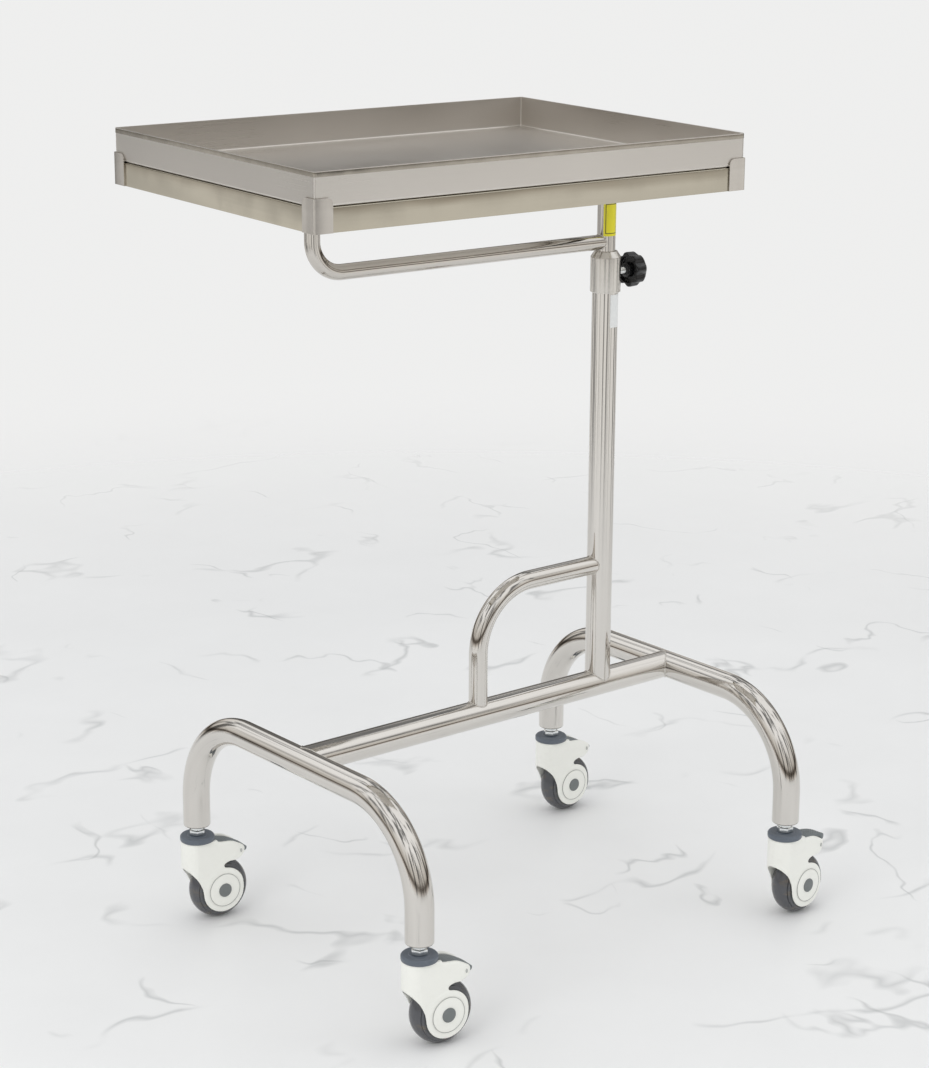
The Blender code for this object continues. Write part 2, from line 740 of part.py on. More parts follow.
def make_wheel(prefix, parent):
    """The moulded core and the crowned tread round it, both centred on the axle."""
    hub, web, rim = 0.0110, 0.0050, CORE_RADIUS - 0.0050
    bore = AXLE_RADIUS + GAP
    half = [
        (bore, CORE_HALF_WIDTH),
        (hub, CORE_HALF_WIDTH),
        (hub, web),
        (rim, web),
        (rim, CORE_HALF_WIDTH),
        (CORE_RADIUS, CORE_HALF_WIDTH),
    ]
    core = turned(half + [(radius, -y) for radius, y in reversed(half)], ROUND, "Y", hollow=True)
    centre = (TRAIL, 0, WHEEL_RADIUS)
    add_piece(f"{prefix}_wheel_core", core, "grey_plastic", parent, centre)
    crown = [
        (WHEEL_RADIUS - CROWN_HEIGHT * (1 - math.cos(a)), CROWN_HALF_WIDTH * math.sin(a))
        for a in (math.radians(31 * step) for step in range(-2, 3))
    ]
    inner, flange = CORE_RADIUS + GAP, CORE_RADIUS + TREAD_FLANGE
    half = [(inner, TREAD_HALF_WIDTH), (flange, TREAD_HALF_WIDTH)]
    profile = [(radius, -y) for radius, y in half] + crown + half[::-1]
    add_piece(f"{prefix}_tread", turned(profile, 24, "Y", hollow=True), "tread_rubber", parent, centre)


def pedal_outline():
    """The pedal from the side, pressed down, about its pivot."""
    top = [(0.0262, 0.1046), (0.0340, 0.1042), (0.0450, 0.1012), (0.0570, 0.0956), (0.0680, 0.0890)]
    top = curve_through(top, 2)
    lip = [(0.0672, 0.0858), (0.0610, 0.0846), (0.0590, 0.0862), (0.0565, 0.0912)]
    under = [(0.0440, 0.0970), (0.0360, 0.0962)]
    boss = arc(PEDAL_PIVOT, 0.0042, -65, -165, 3)
    return [*top, *lip, *under, *boss, (0.0222, 0.1015)]


def make_pedal(name, raised, parent):
    """The brake pedal on its cross pin. It is modelled pressed down, and turned up if it is raised."""
    x, z = PEDAL_PIVOT
    bm = side_slab([(px - x, pz - z) for px, pz in pedal_outline()], PEDAL_HALF_WIDTH)
    pedal = add_piece(name, bm, "blue_grey_plastic", parent, (x, 0, z))
    pedal.rotation_euler = (0, -PEDAL_TRAVEL if raised else 0, 0)
    cross_pin = rod(PEDAL_PIN_RADIUS, -PEDAL_PIN_HALF_LENGTH, PEDAL_PIN_HALF_LENGTH, "Y")
    pin = add_piece(f"{name}_pin", cross_pin, "zinc_steel", parent, (x, 0, z))
    pin.rotation_euler = pedal.rotation_euler
    pin.hide_render = True
    pin.display_type = "WIRE"
    join = pedal.modifiers.new("pin", "BOOLEAN")
    join.object = pin
    join.operation = "UNION"


def make_caster(name, x, y, swivel, raised, cart):
    fixed = add_empty(f"{name}_leg", cart, (x, y, 0))
    turning = add_empty(f"{name}_swivel_axis", cart, (x, y, 0), swivel)
    make_leg_insert(f"{name}_leg_insert", fixed)
    make_stem(f"{name}_stem", fixed)
    make_swivel_ring(f"{name}_swivel_ring", turning)
    make_housing(f"{name}_housing", turning)
    make_axle(f"{name}_axle", turning)
    make_wheel(name, turning)
    make_pedal(f"{name}_pedal", raised, turning)


def centre_on_floor(cart):
    """Moves the cart so that the origin is under the middle of its box, to the nearest 0.1 mm."""
    bpy.context.view_layer.update()
    graph = bpy.context.evaluated_depsgraph_get()
    low = [math.inf] * 2
    high = [-math.inf] * 2
    for piece in bpy.data.objects:
        if piece.type != "MESH" or piece.hide_render:
            continue
        solid = piece.evaluated_get(graph)
        for vertex in solid.data.vertices:
            place = solid.matrix_world @ vertex.co
            low = [min(a, b) for a, b in zip(low, place)]
            high = [max(a, b) for a, b in zip(high, place)]
    cart.location = (-round((low[0] + high[0]) / 2, 4), -round((low[1] + high[1]) / 2, 4), 0)


def make_cart():
    clear_scene()
    make_materials()
    cart = add_empty("cart")
    make_arch("left_arch", LEFT_ARCH_X, cart)
    make_arch("right_arch", RIGHT_ARCH_X, cart)
    make_crossbar(cart)
    make_brace(cart)
    make_post(cart)
    make_collar(cart)
    make_guide_bush(cart)
    make_knob(cart)
    make_mast_foot(cart)
    mast_axis = add_empty("mast_axis", cart, turn=SWIVEL)
    make_mast(mast_axis)
    make_support_arm(mast_axis)
    make_cross_bar("mast_cross_bar", 0, mast_axis)
    make_cross_bar("arm_cross_bar", ARM_END_X, mast_axis)
    make_rails(mast_axis)
    for side_y, row in ((-1, "front"), (1, "back")):
        for side_x, column in ((-1, "left"), (1, "right")):
            make_corner(f"tray_corner_{row}_{column}", side_x, side_y, mast_axis)
    make_tray(mast_axis)
    for name, (x, y, swivel, raised) in CASTERS.items():
        make_caster(name, x, y, swivel, raised, cart)
    centre_on_floor(cart)


make_cart()
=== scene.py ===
# %% [markdown]
# # An instrument cart
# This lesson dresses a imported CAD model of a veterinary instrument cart: a steel stand on four
# casters, with a post, a clamped mast and a loose tray. The CAD model gives every place and size.
# The cells below add fine surfaces and finishes round it, one group of pieces at a time.

# %% Load the frame
import math

import bmesh
import bpy
import numpy as np
from mathutils import Matrix, Vector


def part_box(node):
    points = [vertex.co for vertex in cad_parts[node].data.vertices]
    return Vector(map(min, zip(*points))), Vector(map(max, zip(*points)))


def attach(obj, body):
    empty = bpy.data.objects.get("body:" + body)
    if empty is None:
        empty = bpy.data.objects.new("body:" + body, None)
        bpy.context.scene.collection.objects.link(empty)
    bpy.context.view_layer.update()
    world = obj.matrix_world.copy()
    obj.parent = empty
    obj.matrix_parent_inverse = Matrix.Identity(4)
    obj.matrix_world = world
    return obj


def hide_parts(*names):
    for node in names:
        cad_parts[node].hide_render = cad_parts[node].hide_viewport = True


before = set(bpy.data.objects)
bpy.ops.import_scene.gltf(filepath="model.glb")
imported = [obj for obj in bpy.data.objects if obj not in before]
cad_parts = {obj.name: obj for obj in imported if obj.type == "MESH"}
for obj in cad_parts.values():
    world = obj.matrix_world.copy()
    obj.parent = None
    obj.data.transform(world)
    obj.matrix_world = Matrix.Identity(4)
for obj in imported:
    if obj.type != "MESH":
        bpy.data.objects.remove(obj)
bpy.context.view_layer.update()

# %% [markdown]
# ## Places
# A new surface has to lie where its CAD node lies. Typing coordinates a second time would let the
# two drift apart, so the places are measured on the CAD nodes' boxes, and only what a box doesn't
# show is typed. The cart has three kinds of local frame: the base about the post's axis, the upper
# part about the mast, which is turned a little, and one for each caster, which has swivelled its
# own way.


# %% Measure the CAD nodes
def middle(node):
    """The middle of a CAD node's box."""
    low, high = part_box(node)
    return (np.array(low) + np.array(high)) / 2


def size(node):
    low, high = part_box(node)
    return np.array(high) - np.array(low)


def top(node):
    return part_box(node)[1].z


def bottom(node):
    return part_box(node)[0].z


def heading(start, end):
    """The angle about Z of the way from one node's middle to another's."""
    way = middle(end) - middle(start)
    return math.atan2(way[1], way[0])


post_axis = np.array([*middle("post")[:2], 0.0])
mast_turn = heading("arm_cross_bar", "mast_cross_bar")
CASTERS = ("front_left", "back_left", "back_right", "front_right")
caster_places = {
    name: (np.array([*middle(f"{name}_stem")[:2], 0.0]), heading(f"{name}_stem", f"{name}_wheel_core"))
    for name in CASTERS
}
print("mast turned by", round(math.degrees(mast_turn), 2), "degrees")

# %% [markdown]
# ## Surfaces from grids
# Most of the cart is tube, turned metal and folded sheet, and each of those is a surface with two
# directions: along and around. Primitives and modifiers could make them, but a grid of points
# worked out by numpy gives exact control of every fillet, and it also yields a UV map in metres
# that follows the metal, which the grain of the finish will use.


# %% A grid becomes quads
def surface(grid, wrap_rows=False, wrap_columns=False):
    """Points, quads and UVs of a grid of points with the shape (rows, columns, 3).

    Each quad joins four neighbours. A wrapped direction also joins its last line to its first.
    U is the mean distance along the columns and V along the rows, both in metres.
    """
    rows, columns = grid.shape[:2]
    index = np.arange(rows * columns).reshape(rows, columns)
    row_steps = np.linalg.norm(np.roll(grid, -1, 0) - grid, axis=2).mean(1)
    column_steps = np.linalg.norm(np.roll(grid, -1, 1) - grid, axis=2).mean(0)
    if wrap_rows:
        index = np.vstack([index, index[:1]])
    if wrap_columns:
        index = np.hstack([index, index[:, :1]])
    v = np.concatenate([[0], np.cumsum(row_steps)])[: index.shape[0]]
    u = np.concatenate([[0], np.cumsum(column_steps)])[: index.shape[1]]
    u, v = np.meshgrid(u, v)

    def corners(values):
        parts = [values[:-1, :-1], values[:-1, 1:], values[1:, 1:], values[1:, :-1]]
        return np.stack(parts, axis=2).reshape(-1, 4)

    return grid.reshape(-1, 3), corners(index), np.stack([corners(u), corners(v)], axis=2)


# %% Quads become a piece
MERGE_DISTANCE = 2e-6
SHARP_DEGREES, MOULDED_SHARP_DEGREES = 38, 60


def turned_to(points, origin, turn):
    """The points turned about Z by an angle, then moved to an origin."""
    c, s = math.cos(turn), math.sin(turn)
    return points @ np.array([[c, s, 0], [-s, c, 0], [0, 0, 1]]) + origin


def fill_openings(bm, layer):
    """Closes every open edge loop with one flat face, whose UVs are its own X and Y."""
    rims = [edge for edge in bm.edges if edge.is_boundary]
    made = bmesh.ops.holes_fill(bm, edges=rims, sides=0)["faces"] if rims else []
    for face in made:
        for loop in face.loops:
            loop[layer].uv = loop.vert.co.xy


def make_piece(name, parts, finish, body, nodes, origin, turn=0.0, sharp=SHARP_DEGREES):
    """One object from several (points, quads, UVs), in place, closed and facing outwards."""
    starts = np.cumsum([0] + [len(points) for points, _, _ in parts])
    points = turned_to(np.concatenate([part[0] for part in parts]), np.array(origin), turn)
    quads = np.concatenate([part[1] + start for part, start in zip(parts, starts)])
    uvs = np.concatenate([part[2] for part in parts])
    mesh = bpy.data.meshes.new(name)
    mesh.vertices.add(len(points))
    mesh.vertices.foreach_set("co", points.astype(np.float32).ravel())
    mesh.loops.add(quads.size)
    mesh.loops.foreach_set("vertex_index", quads.astype(np.int32).ravel())
    mesh.polygons.add(len(quads))
    mesh.polygons.foreach_set("loop_start", np.arange(0, quads.size, 4, dtype=np.int32))
    mesh.uv_layers.new(name="metres").data.foreach_set("uv", uvs.astype(np.float32).ravel())
    mesh.update(calc_edges=True)
    bm = bmesh.new()
    bm.from_mesh(mesh)
    bmesh.ops.remove_doubles(bm, verts=bm.verts, dist=MERGE_DISTANCE)
    fill_openings(bm, bm.loops.layers.uv["metres"])
    bmesh.ops.recalc_face_normals(bm, faces=bm.faces)
    bm.to_mesh(mesh)
    bm.free()
    mesh.materials.append(finishes[finish])
    mesh.shade_smooth()
    mesh.set_sharp_from_angle(angle=math.radians(sharp))
    piece = bpy.data.objects.new(name, mesh)
    bpy.context.scene.collection.objects.link(piece)
    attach(piece, body)
    if nodes:
        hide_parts(*nodes)
    print(f"{name}: {len(mesh.polygons)} faces")
    return piece


# %% [markdown]
# ## Rounded outlines
# Real metal and plastic have no razor edges, and it is the small rounded edge that catches the
# light. A Bevel modifier can add one, but a profile that is already rounded needs no modifier. The
# same formula also bends the centreline of a tube, because a bend is a rounded corner.


# %% Round the corners of a polyline
def unit(vectors):
    return vectors / np.maximum(np.linalg.norm(vectors, axis=-1, keepdims=True), 1e-12)


def rounded(corners, radii, steps=6, closed=True):
    """The polyline with each corner turned into an arc, as (points, directions).

    The arc of a corner that turns by an angle starts radius x tan(angle / 2) before it. A point
    that is a share t along the arc lies radius x sin(t) onwards and radius x (1 - cos(t)) inwards.
    """
    corners = np.asarray(corners, float)
    radii = np.broadcast_to(np.asarray(radii, float), len(corners))
    before, after = np.roll(corners, 1, 0), np.roll(corners, -1, 0)
    if not closed:
        before[0], after[-1] = 2 * corners[0] - corners[1], 2 * corners[-1] - corners[-2]
    way_in, way_out = unit(corners - before), unit(after - corners)
    cosine = np.clip((way_in * way_out).sum(1), -1, 1)
    angle = np.arccos(cosine)
    inward = unit(way_out - way_in * cosine[:, None])
    start = corners - way_in * (radii * np.tan(angle / 2))[:, None]
    t = (angle[:, None] * np.linspace(0, 1, steps + 1))[:, :, None]
    reach = radii[:, None, None]
    points = start[:, None] + way_in[:, None] * reach * np.sin(t) + inward[:, None] * reach * (1 - np.cos(t))
    ways = way_in[:, None] * np.cos(t) + inward[:, None] * np.sin(t)
    dimensions = corners.shape[1]
    points, ways = points.reshape(-1, dimensions), ways.reshape(-1, dimensions)
    if not closed:
        points, ways = points[steps:-steps], ways[steps:-steps]
    return points, ways


def smooth_curve(points, steps=8):
    """A curve through a few points, each stretch a cubic whose slopes come from the neighbours."""
    p = np.asarray(points, float)
    a, b, c, d = np.vstack([p[:1], p[:-2]]), p[:-1], p[1:], np.vstack([p[2:], p[-1:]])
    t = np.linspace(0, 1, steps, endpoint=False)[None, :, None]
    a, b, c, d = (values[:, None] for values in (a, b, c, d))
    curve = 0.5 * (2 * b + (c - a) * t + (2 * a - 5 * b + 4 * c - d) * t**2 + (3 * b - a - 3 * c + d) * t**3)
    return np.vstack([curve.reshape(-1, p.shape[1]), p[-1:]])


def arc(centre, radius, start, end, steps):
    """Points on a circle between two angles, given in degrees."""
    t = np.radians(np.linspace(start, end, steps + 1))
    return np.stack([centre[0] + radius * np.cos(t), centre[1] + radius * np.sin(t)], axis=1)


# %% [markdown]
# ## Tubes, turned pieces and beads
# Three helpers cover most of the stand. A tube is a circle carried along a centreline. A turned
# piece is a profile spun about an axis, as a lathe makes it. A bead is a small circle carried
# along a closed seam, as a welder lays it. All three are grids, so all three get their UVs free.


# %% Carry, spin and seam
def tube(corners, bend, radius, saddles=(None, None), sides=72, bend_steps=28):
    """A circle carried along a flat centreline with rounded bends.

    The ring at a point is centre + radius x (cos(turn) x plane normal + sin(turn) x side). At a
    saddle the ring is pushed along by sqrt(R^2 - across^2), so it fits on a round tube of radius R.
    """
    corners = np.asarray(corners, float)
    points, ways = rounded(corners, bend, bend_steps, closed=False)
    normal = np.cross(ways[0], ways[-1])
    if np.linalg.norm(normal) < 1e-6:
        normal = np.cross(ways[0], [0, 1, 0] if abs(ways[0][1]) < 0.9 else [0, 0, 1])
    normal = unit(normal)
    side = np.cross(ways, normal)
    turn = np.linspace(0, 2 * math.pi, sides, endpoint=False)[None, :, None]
    offsets = radius * (normal * np.cos(turn) + side[:, None] * np.sin(turn))
    grid = points[:, None] + offsets
    for row, sign, saddle in ((0, 1, saddles[0]), (-1, -1, saddles[1])):
        if saddle:
            axis, other_radius = saddle
            across = offsets[row] @ np.cross(ways[row], axis)
            grid[row] += sign * ways[row] * np.sqrt(other_radius**2 - across**2)[:, None]
    return grid


def spin(profile, axis="Z", centre=(0, 0, 0), sides=96):
    """A profile of (radius, height) points carried round Z or Y: radius x (cos, sin), height."""
    profile = np.asarray(profile, float)
    turn = np.linspace(0, 2 * math.pi, sides, endpoint=False)
    across, along = profile[:, :1] * np.cos(turn), profile[:, :1] * np.sin(turn)
    height = np.broadcast_to(profile[:, 1:], across.shape)
    order = {"Z": (across, along, height), "Y": (along, height, across)}
    return np.stack(order[axis], axis=2) + centre


def bead(seam, radius, ripples=40, height=0.10):
    """A small circle carried round a closed seam, its radius rising and falling with each ripple."""
    way = unit(np.roll(seam, -1, 0) - np.roll(seam, 1, 0))
    outward = seam - seam.mean(0)
    outward = unit(outward - way * (outward * way).sum(1, keepdims=True))
    third = np.cross(way, outward)
    turn = np.linspace(0, 2 * math.pi, 12, endpoint=False)[None, :, None]
    swell = 1 + height * np.sin(np.linspace(0, 2 * math.pi * ripples, len(seam), endpoint=False))
    reach = (radius * swell)[:, None, None]
    ring = outward[:, None] * np.cos(turn) + third[:, None] * np.sin(turn)
    return seam[:, None] + ring * reach


def lipped(radius, low, high, edge, steps=6):
    """A profile (radius, height) of a plain cylinder whose two rims are rounded."""
    corners = [(radius - 4 * edge, low), (radius, low), (radius, high), (radius - 4 * edge, high)]
    return rounded(corners, edge, steps, closed=False)[0]


# %% [markdown]
# ## Finishes
# The steel is finished in two ways. Tubes and rails are polished: nearly a mirror, with faint draw
# lines along the metal, darker streaks that are partly patina and partly painted reflection, smears
# from handling and a little waviness that makes reflections wobble.
# The tray, the collar and the bars under it are brushed. Flat colour would look like paint, so each
# finish mixes two to four noises into colour, roughness and height. Plastics and rubber get a fine
# moulded grain. What is the same all over, such as the metallic value, is set on the shader itself.


# %% Node helpers
def add_node(tree, kind, values=None, links=None, **settings):
    """A shader node with its own settings, values for its inputs and links into them."""
    node = tree.nodes.new("ShaderNode" + kind)
    for name, value in settings.items():
        setattr(node, name, value)
    for socket, value in (values or {}).items():
        node.inputs[socket].default_value = value
    for socket, source in (links or {}).items():
        tree.links.new(source, node.inputs[socket])
    return node


class Finish:
    """A material under construction: its shader, and short ways to add nodes to it."""

    def __init__(self, name, colour, roughness, metallic=0.0, specular=0.5):
        self.material = bpy.data.materials.new(name)
        self.material.use_nodes = True
        self.tree = self.material.node_tree
        self.shader = self.tree.nodes["Principled BSDF"]
        self.colour = (*colour, 1)
        self.shader.inputs["Base Color"].default_value = self.colour
        self.shader.inputs["Roughness"].default_value = roughness
        self.shader.inputs["Metallic"].default_value = metallic
        self.shader.inputs["Specular IOR Level"].default_value = specular
        self.place = self.tree.nodes.new("ShaderNodeTexCoord")
        self.height = None
        finishes[name] = self.material

    def add(self, kind, values, links, **settings):
        return add_node(self.tree, kind, values, links, **settings)

    def noise(self, scale, coordinates="Object", detail=3, roughness=0.5, low=0.3, high=0.7):
        """A noise from 0 to 1, stretched by a scale for each direction in features per metre."""
        mapping = self.add("Mapping", {"Scale": scale}, {"Vector": self.place.outputs[coordinates]})
        values = {"Scale": 1, "Detail": detail, "Roughness": roughness}
        texture = self.add("TexNoise", values, {"Vector": mapping.outputs["Vector"]})
        spread = self.add("MapRange", {"From Min": low, "From Max": high}, {"Value": texture.outputs["Fac"]})
        return spread.outputs["Result"]

    def tint(self, mask, colour, amount=1.0):
        """Mixes a second colour over the first where the mask is high."""
        strength = self.add("Math", {1: amount}, {0: mask}, operation="MULTIPLY").outputs["Value"]
        colours = {"A": self.colour, "B": (*colour, 1)}
        mix = self.add("Mix", colours, {"Factor": strength}, data_type="RGBA")
        base = self.shader.inputs["Base Color"]
        if base.is_linked:
            self.tree.links.new(base.links[0].from_socket, mix.inputs["A"])
        self.tree.links.new(mix.outputs["Result"], base)

    def gloss(self, mask, low, high):
        """Spreads the roughness between two values, and adds to what is there already."""
        spread = self.add("MapRange", {"To Min": low, "To Max": high}, {"Value": mask})
        made = spread.outputs["Result"]
        rough = self.shader.inputs["Roughness"]
        if rough.is_linked:
            total = self.add("Math", {}, {0: rough.links[0].from_socket, 1: made}, operation="ADD")
            made = total.outputs["Value"]
        self.tree.links.new(made, rough)

    def bump(self, mask, distance):
        """Raises the surface by a distance in metres where the mask is high."""
        links = {"Height": mask}
        if self.height:
            links["Normal"] = self.height
        self.height = self.add("Bump", {"Distance": distance, "Strength": 1.0}, links).outputs["Normal"]
        self.tree.links.new(self.height, self.shader.inputs["Normal"])


finishes = {}

# %% [markdown]
# The noise of a polished tube reads the UV map, where U runs round the tube and V along it. A
# scale that is high in U and low in V draws the noise out into lines along the metal.


# %% Steel finishes
def polished(name, colour=(0.70, 0.675, 0.64), roughness=(0.05, 0.13), patina_and_reflection_tint=(0.42, 0.39, 0.35)):
    steel = Finish(name, colour, roughness[0], metallic=1.0)
    patina_and_reflection_streaks = steel.noise((26, 0.8, 1), "UV", detail=3, low=0.42, high=0.72)
    smears = steel.noise((16, 16, 7), detail=4, roughness=0.6, low=0.42, high=0.72)
    lines = steel.noise((700, 5, 1), "UV", detail=2)
    waves = steel.noise((34, 7, 1), "UV", detail=1)
    # The streak tint is partly drawn patina and partly painted dark reflection bands along the tube.
    steel.tint(patina_and_reflection_streaks, patina_and_reflection_tint, 0.40)
    steel.tint(smears, tuple(1.06 * value for value in colour), 0.4)
    steel.gloss(smears, *roughness)
    steel.gloss(lines, 0.0, 0.03)
    steel.bump(waves, 0.00016)
    steel.bump(lines, 0.000002)


def brushed(name, colour, roughness, grain, contrast=0.3, coordinates="UV"):
    steel = Finish(name, colour, roughness, metallic=1.0)
    lines = steel.noise(grain, coordinates, detail=3, roughness=0.6)
    smears = steel.noise((7, 7, 7), detail=1, low=0.3, high=0.7)
    steel.tint(lines, tuple(0.88 * value for value in colour), contrast)
    steel.tint(smears, tuple(1.07 * value for value in colour), 0.6)
    steel.gloss(lines, roughness - 0.02, roughness + 0.03)
    steel.gloss(smears, -0.03, 0.05)
    steel.bump(lines, 0.000003)


polished("polished_steel")
# The mast and arm get a darker, browner copy of the polished steel: painted shade from the tray above them.
polished("painted_shade_mast_steel", (0.60, 0.57, 0.53), (0.05, 0.13), (0.33, 0.30, 0.26))
polished("rail_steel", (0.50, 0.465, 0.385), (0.08, 0.20), (0.27, 0.245, 0.185))
# The hem gets a much darker copy of the polished steel: a painted dark reflection band under the rim.
polished("painted_reflection_hem_steel", (0.42, 0.39, 0.34), (0.10, 0.24), (0.20, 0.18, 0.15))
polished("plate_steel", (0.60, 0.57, 0.53), (0.08, 0.20), (0.30, 0.27, 0.24))
brushed("tray_steel", (0.68, 0.65, 0.61), 0.31, (7, 1100, 1), 0.10)
brushed("satin_steel", (0.68, 0.655, 0.615), 0.20, (5, 500, 1), 0.04)
brushed("zinc_steel", (0.80, 0.82, 0.82), 0.13, (300, 300, 300), 0.2, "Object")
print("steel:", ", ".join(finishes))

# %% [markdown]
# Moulded plastic has a fine even grain, and it shows use as scuffs that are duller and a little
# darker or lighter. Rubber that has rolled over a floor carries dust, and on the tread the strong
# brown tint is also a painted sheen.


# %% Plastic, rubber and paper finishes
def moulded(name, colour, roughness, scuff_and_sheen, scuff_and_sheen_share=0.35, grain=0.00002):
    plastic = Finish(name, colour, roughness)
    fine = plastic.noise((1400, 1400, 1400), detail=2)
    marks = plastic.noise((70, 70, 110), detail=5, roughness=0.65, low=0.52, high=0.78)
    plastic.tint(marks, scuff_and_sheen, scuff_and_sheen_share)
    plastic.gloss(marks, roughness, roughness + 0.15)
    plastic.bump(fine, grain)


moulded("ivory_plastic", (0.90, 0.90, 0.845), 0.34, (0.72, 0.71, 0.65), 0.15)
moulded("blue_grey_plastic", (0.112, 0.132, 0.160), 0.36, (0.20, 0.22, 0.25))
moulded("pedal_plastic", (0.160, 0.180, 0.187), 0.40, (0.27, 0.29, 0.30))
moulded("grey_plastic", (0.17, 0.185, 0.185), 0.45, (0.26, 0.27, 0.26))
# This grey also colours the rings round the cheek discs, which are painted shadow lines.
moulded("mark_and_shadow_ring_plastic", (0.46, 0.47, 0.45), 0.45, (0.50, 0.51, 0.50))
# The tread's brown tint is partly dust and partly a painted brown sheen.
moulded("tread_rubber", (0.088, 0.090, 0.098), 0.18, (0.20, 0.16, 0.10), 0.6, 0.000008)
moulded("black_plastic", (0.008, 0.008, 0.009), 0.27, (0.035, 0.035, 0.035))
moulded("white_nylon", (0.78, 0.78, 0.74), 0.45, (0.6, 0.59, 0.55))
moulded("white_label", (0.80, 0.81, 0.80), 0.30, (0.70, 0.70, 0.68), 0.3, 0.000004)
moulded("yellow_label", (0.80, 0.72, 0.02), 0.28, (0.60, 0.52, 0.04), 0.3, 0.000004)
moulded("label_ink", (0.035, 0.03, 0.02), 0.35, (0.08, 0.07, 0.05), 0.3, 0.000004)
print(len(finishes), "finishes")

# %% [markdown]
# ## The base frame
# Two arches of 35 mm tube stand across the cart, and a beam of the same tube joins their middles.
# The arches could be curve objects with a bevel, but the grid tube gives a UV map along the bend.
# Where a tube meets another it is cut like a saddle, welded all round and polished down, so a thin
# seam stays visible. The bead there is less than two millimetres across.

# %% Arches, beam and brace
TUBE_RADIUS = size("crossbar")[1] / 2
POST_RADIUS = size("post")[0] / 2
BRACE_RADIUS = size("brace")[1] / 2
MAST_RADIUS = size("mast")[0] / 2
ARCH_BEND = 0.1145
BRACE_BEND = 0.0834
SEAM_RADIUS = 0.0009
beam_z = middle("crossbar")[2]
arch_x = {side: middle(f"{side}_arch")[0] - post_axis[0] for side in ("left", "right")}
leg_y = size("left_arch")[1] / 2 - TUBE_RADIUS
leg_end = bottom("left_arch")
brace_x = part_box("brace")[0].x + BRACE_RADIUS - post_axis[0]
brace_top = top("brace") - BRACE_RADIUS


def make_base(name, parts, finish, nodes):
    return make_piece(name, parts, finish, "base", nodes, post_axis)


for side, x in arch_x.items():
    corners = [(x, -leg_y, leg_end), (x, -leg_y, beam_z), (x, leg_y, beam_z), (x, leg_y, leg_end)]
    arch = surface(tube(corners, ARCH_BEND, TUBE_RADIUS), wrap_columns=True)
    make_base(f"{side}_arch_tube", [arch], "polished_steel", [f"{side}_arch"])

on_arch = ((0, 1, 0), TUBE_RADIUS)
beam = tube([(arch_x["left"], 0, beam_z), (arch_x["right"], 0, beam_z)], 0, TUBE_RADIUS, (on_arch, on_arch))
make_base("beam_tube", [surface(beam, wrap_columns=True)], "polished_steel", ["crossbar"])

on_beam, on_post = ((1, 0, 0), TUBE_RADIUS), ((0, 0, 1), POST_RADIUS)
corners = [(brace_x, 0, beam_z), (brace_x, 0, brace_top), (0, 0, brace_top)]
brace = tube(corners, BRACE_BEND, BRACE_RADIUS, (on_beam, on_post))
make_base("brace_tube", [surface(brace, wrap_columns=True)], "polished_steel", ["brace"])

post = tube([(0, 0, beam_z), (0, 0, top("post"))], 0, POST_RADIUS, (on_beam, None))
make_base("post_tube", [surface(post, wrap_columns=True)], "polished_steel", ["post"])

# %% Welded seams
for name, seam in (
    ("beam_left_weld", beam[0]),
    ("beam_right_weld", beam[-1]),
    ("brace_foot_weld", brace[0]),
    ("brace_head_weld", brace[-1]),
    ("post_foot_weld", post[0]),
):
    weld = surface(bead(seam, SEAM_RADIUS), wrap_rows=True, wrap_columns=True)
    make_base(name, [weld], "satin_steel", [])

# %% [markdown]
# ## Collar, clamp knob and labels
# The collar is turned from bar: a long satin cylinder with a cone on top, and it carries the clamp.
# The knob is a black star handle whose back faces the collar. Its lobes are one formula, a power
# of a cosine of eight times the angle, which fades out towards the boss. The stud between them is
# a screw, so its surface is a helix: the height of the thread depends on the angle as well.

# %% Collar and stud
collar_low, collar_high = bottom("collar"), top("collar")
COLLAR_RADIUS = size("collar")[0] / 2
CONE_HEIGHT = 0.0076
CONE_RADIUS = 0.0143
shoulder = collar_high - CONE_HEIGHT
round_post, round_mast = POST_RADIUS + 0.0002, MAST_RADIUS + 0.0003
corners = [
    (round_post, collar_low),
    (COLLAR_RADIUS, collar_low),
    (COLLAR_RADIUS, shoulder),
    (CONE_RADIUS, collar_high),
    (round_mast, collar_high),
    (round_mast, shoulder),
    (round_post, shoulder - 0.004),
]
profile = rounded(corners, [0, 0.0007, 0.0012, 0.0006, 0.0004, 0, 0], 5)[0]
collar = surface(spin(profile, sides=128), wrap_rows=True, wrap_columns=True)
make_base("collar_turned", [collar], "satin_steel", ["collar"])

knob_middle = middle("knob") - post_axis
knob_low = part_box("knob")[0].x - post_axis[0]
knob_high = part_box("knob")[1].x - post_axis[0]
knob_z = knob_middle[2]
STUD_RADIUS = 0.0040
THREAD_PITCH = 0.00125
THREAD_DEPTH = 0.00045
stud_ends = [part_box("knob_stud")[end].x - post_axis[0] for end in (0, 1)]
along = np.linspace(*stud_ends, 240)[:, None]
turn = np.linspace(0, 2 * math.pi, 48, endpoint=False)[None, :]
groove = 0.5 + 0.5 * np.cos(2 * math.pi * along / THREAD_PITCH - turn)
thread = STUD_RADIUS - THREAD_DEPTH * groove
stud = np.stack([along + 0 * turn, thread * np.cos(turn), knob_z + thread * np.sin(turn)], axis=2)
stud = surface(stud, wrap_columns=True)
make_piece("clamp_stud_thread", [stud], "zinc_steel", "clamp_stud", ["knob_stud"], post_axis)

# %% Star knob
LOBES = 8
KNOB_RADIUS = 0.0222
KNOB_TURN = math.radians(9)
LOBE_DEPTH, LOBE_SHARPNESS = 0.17, 1.4
LOBE_START = 0.0166


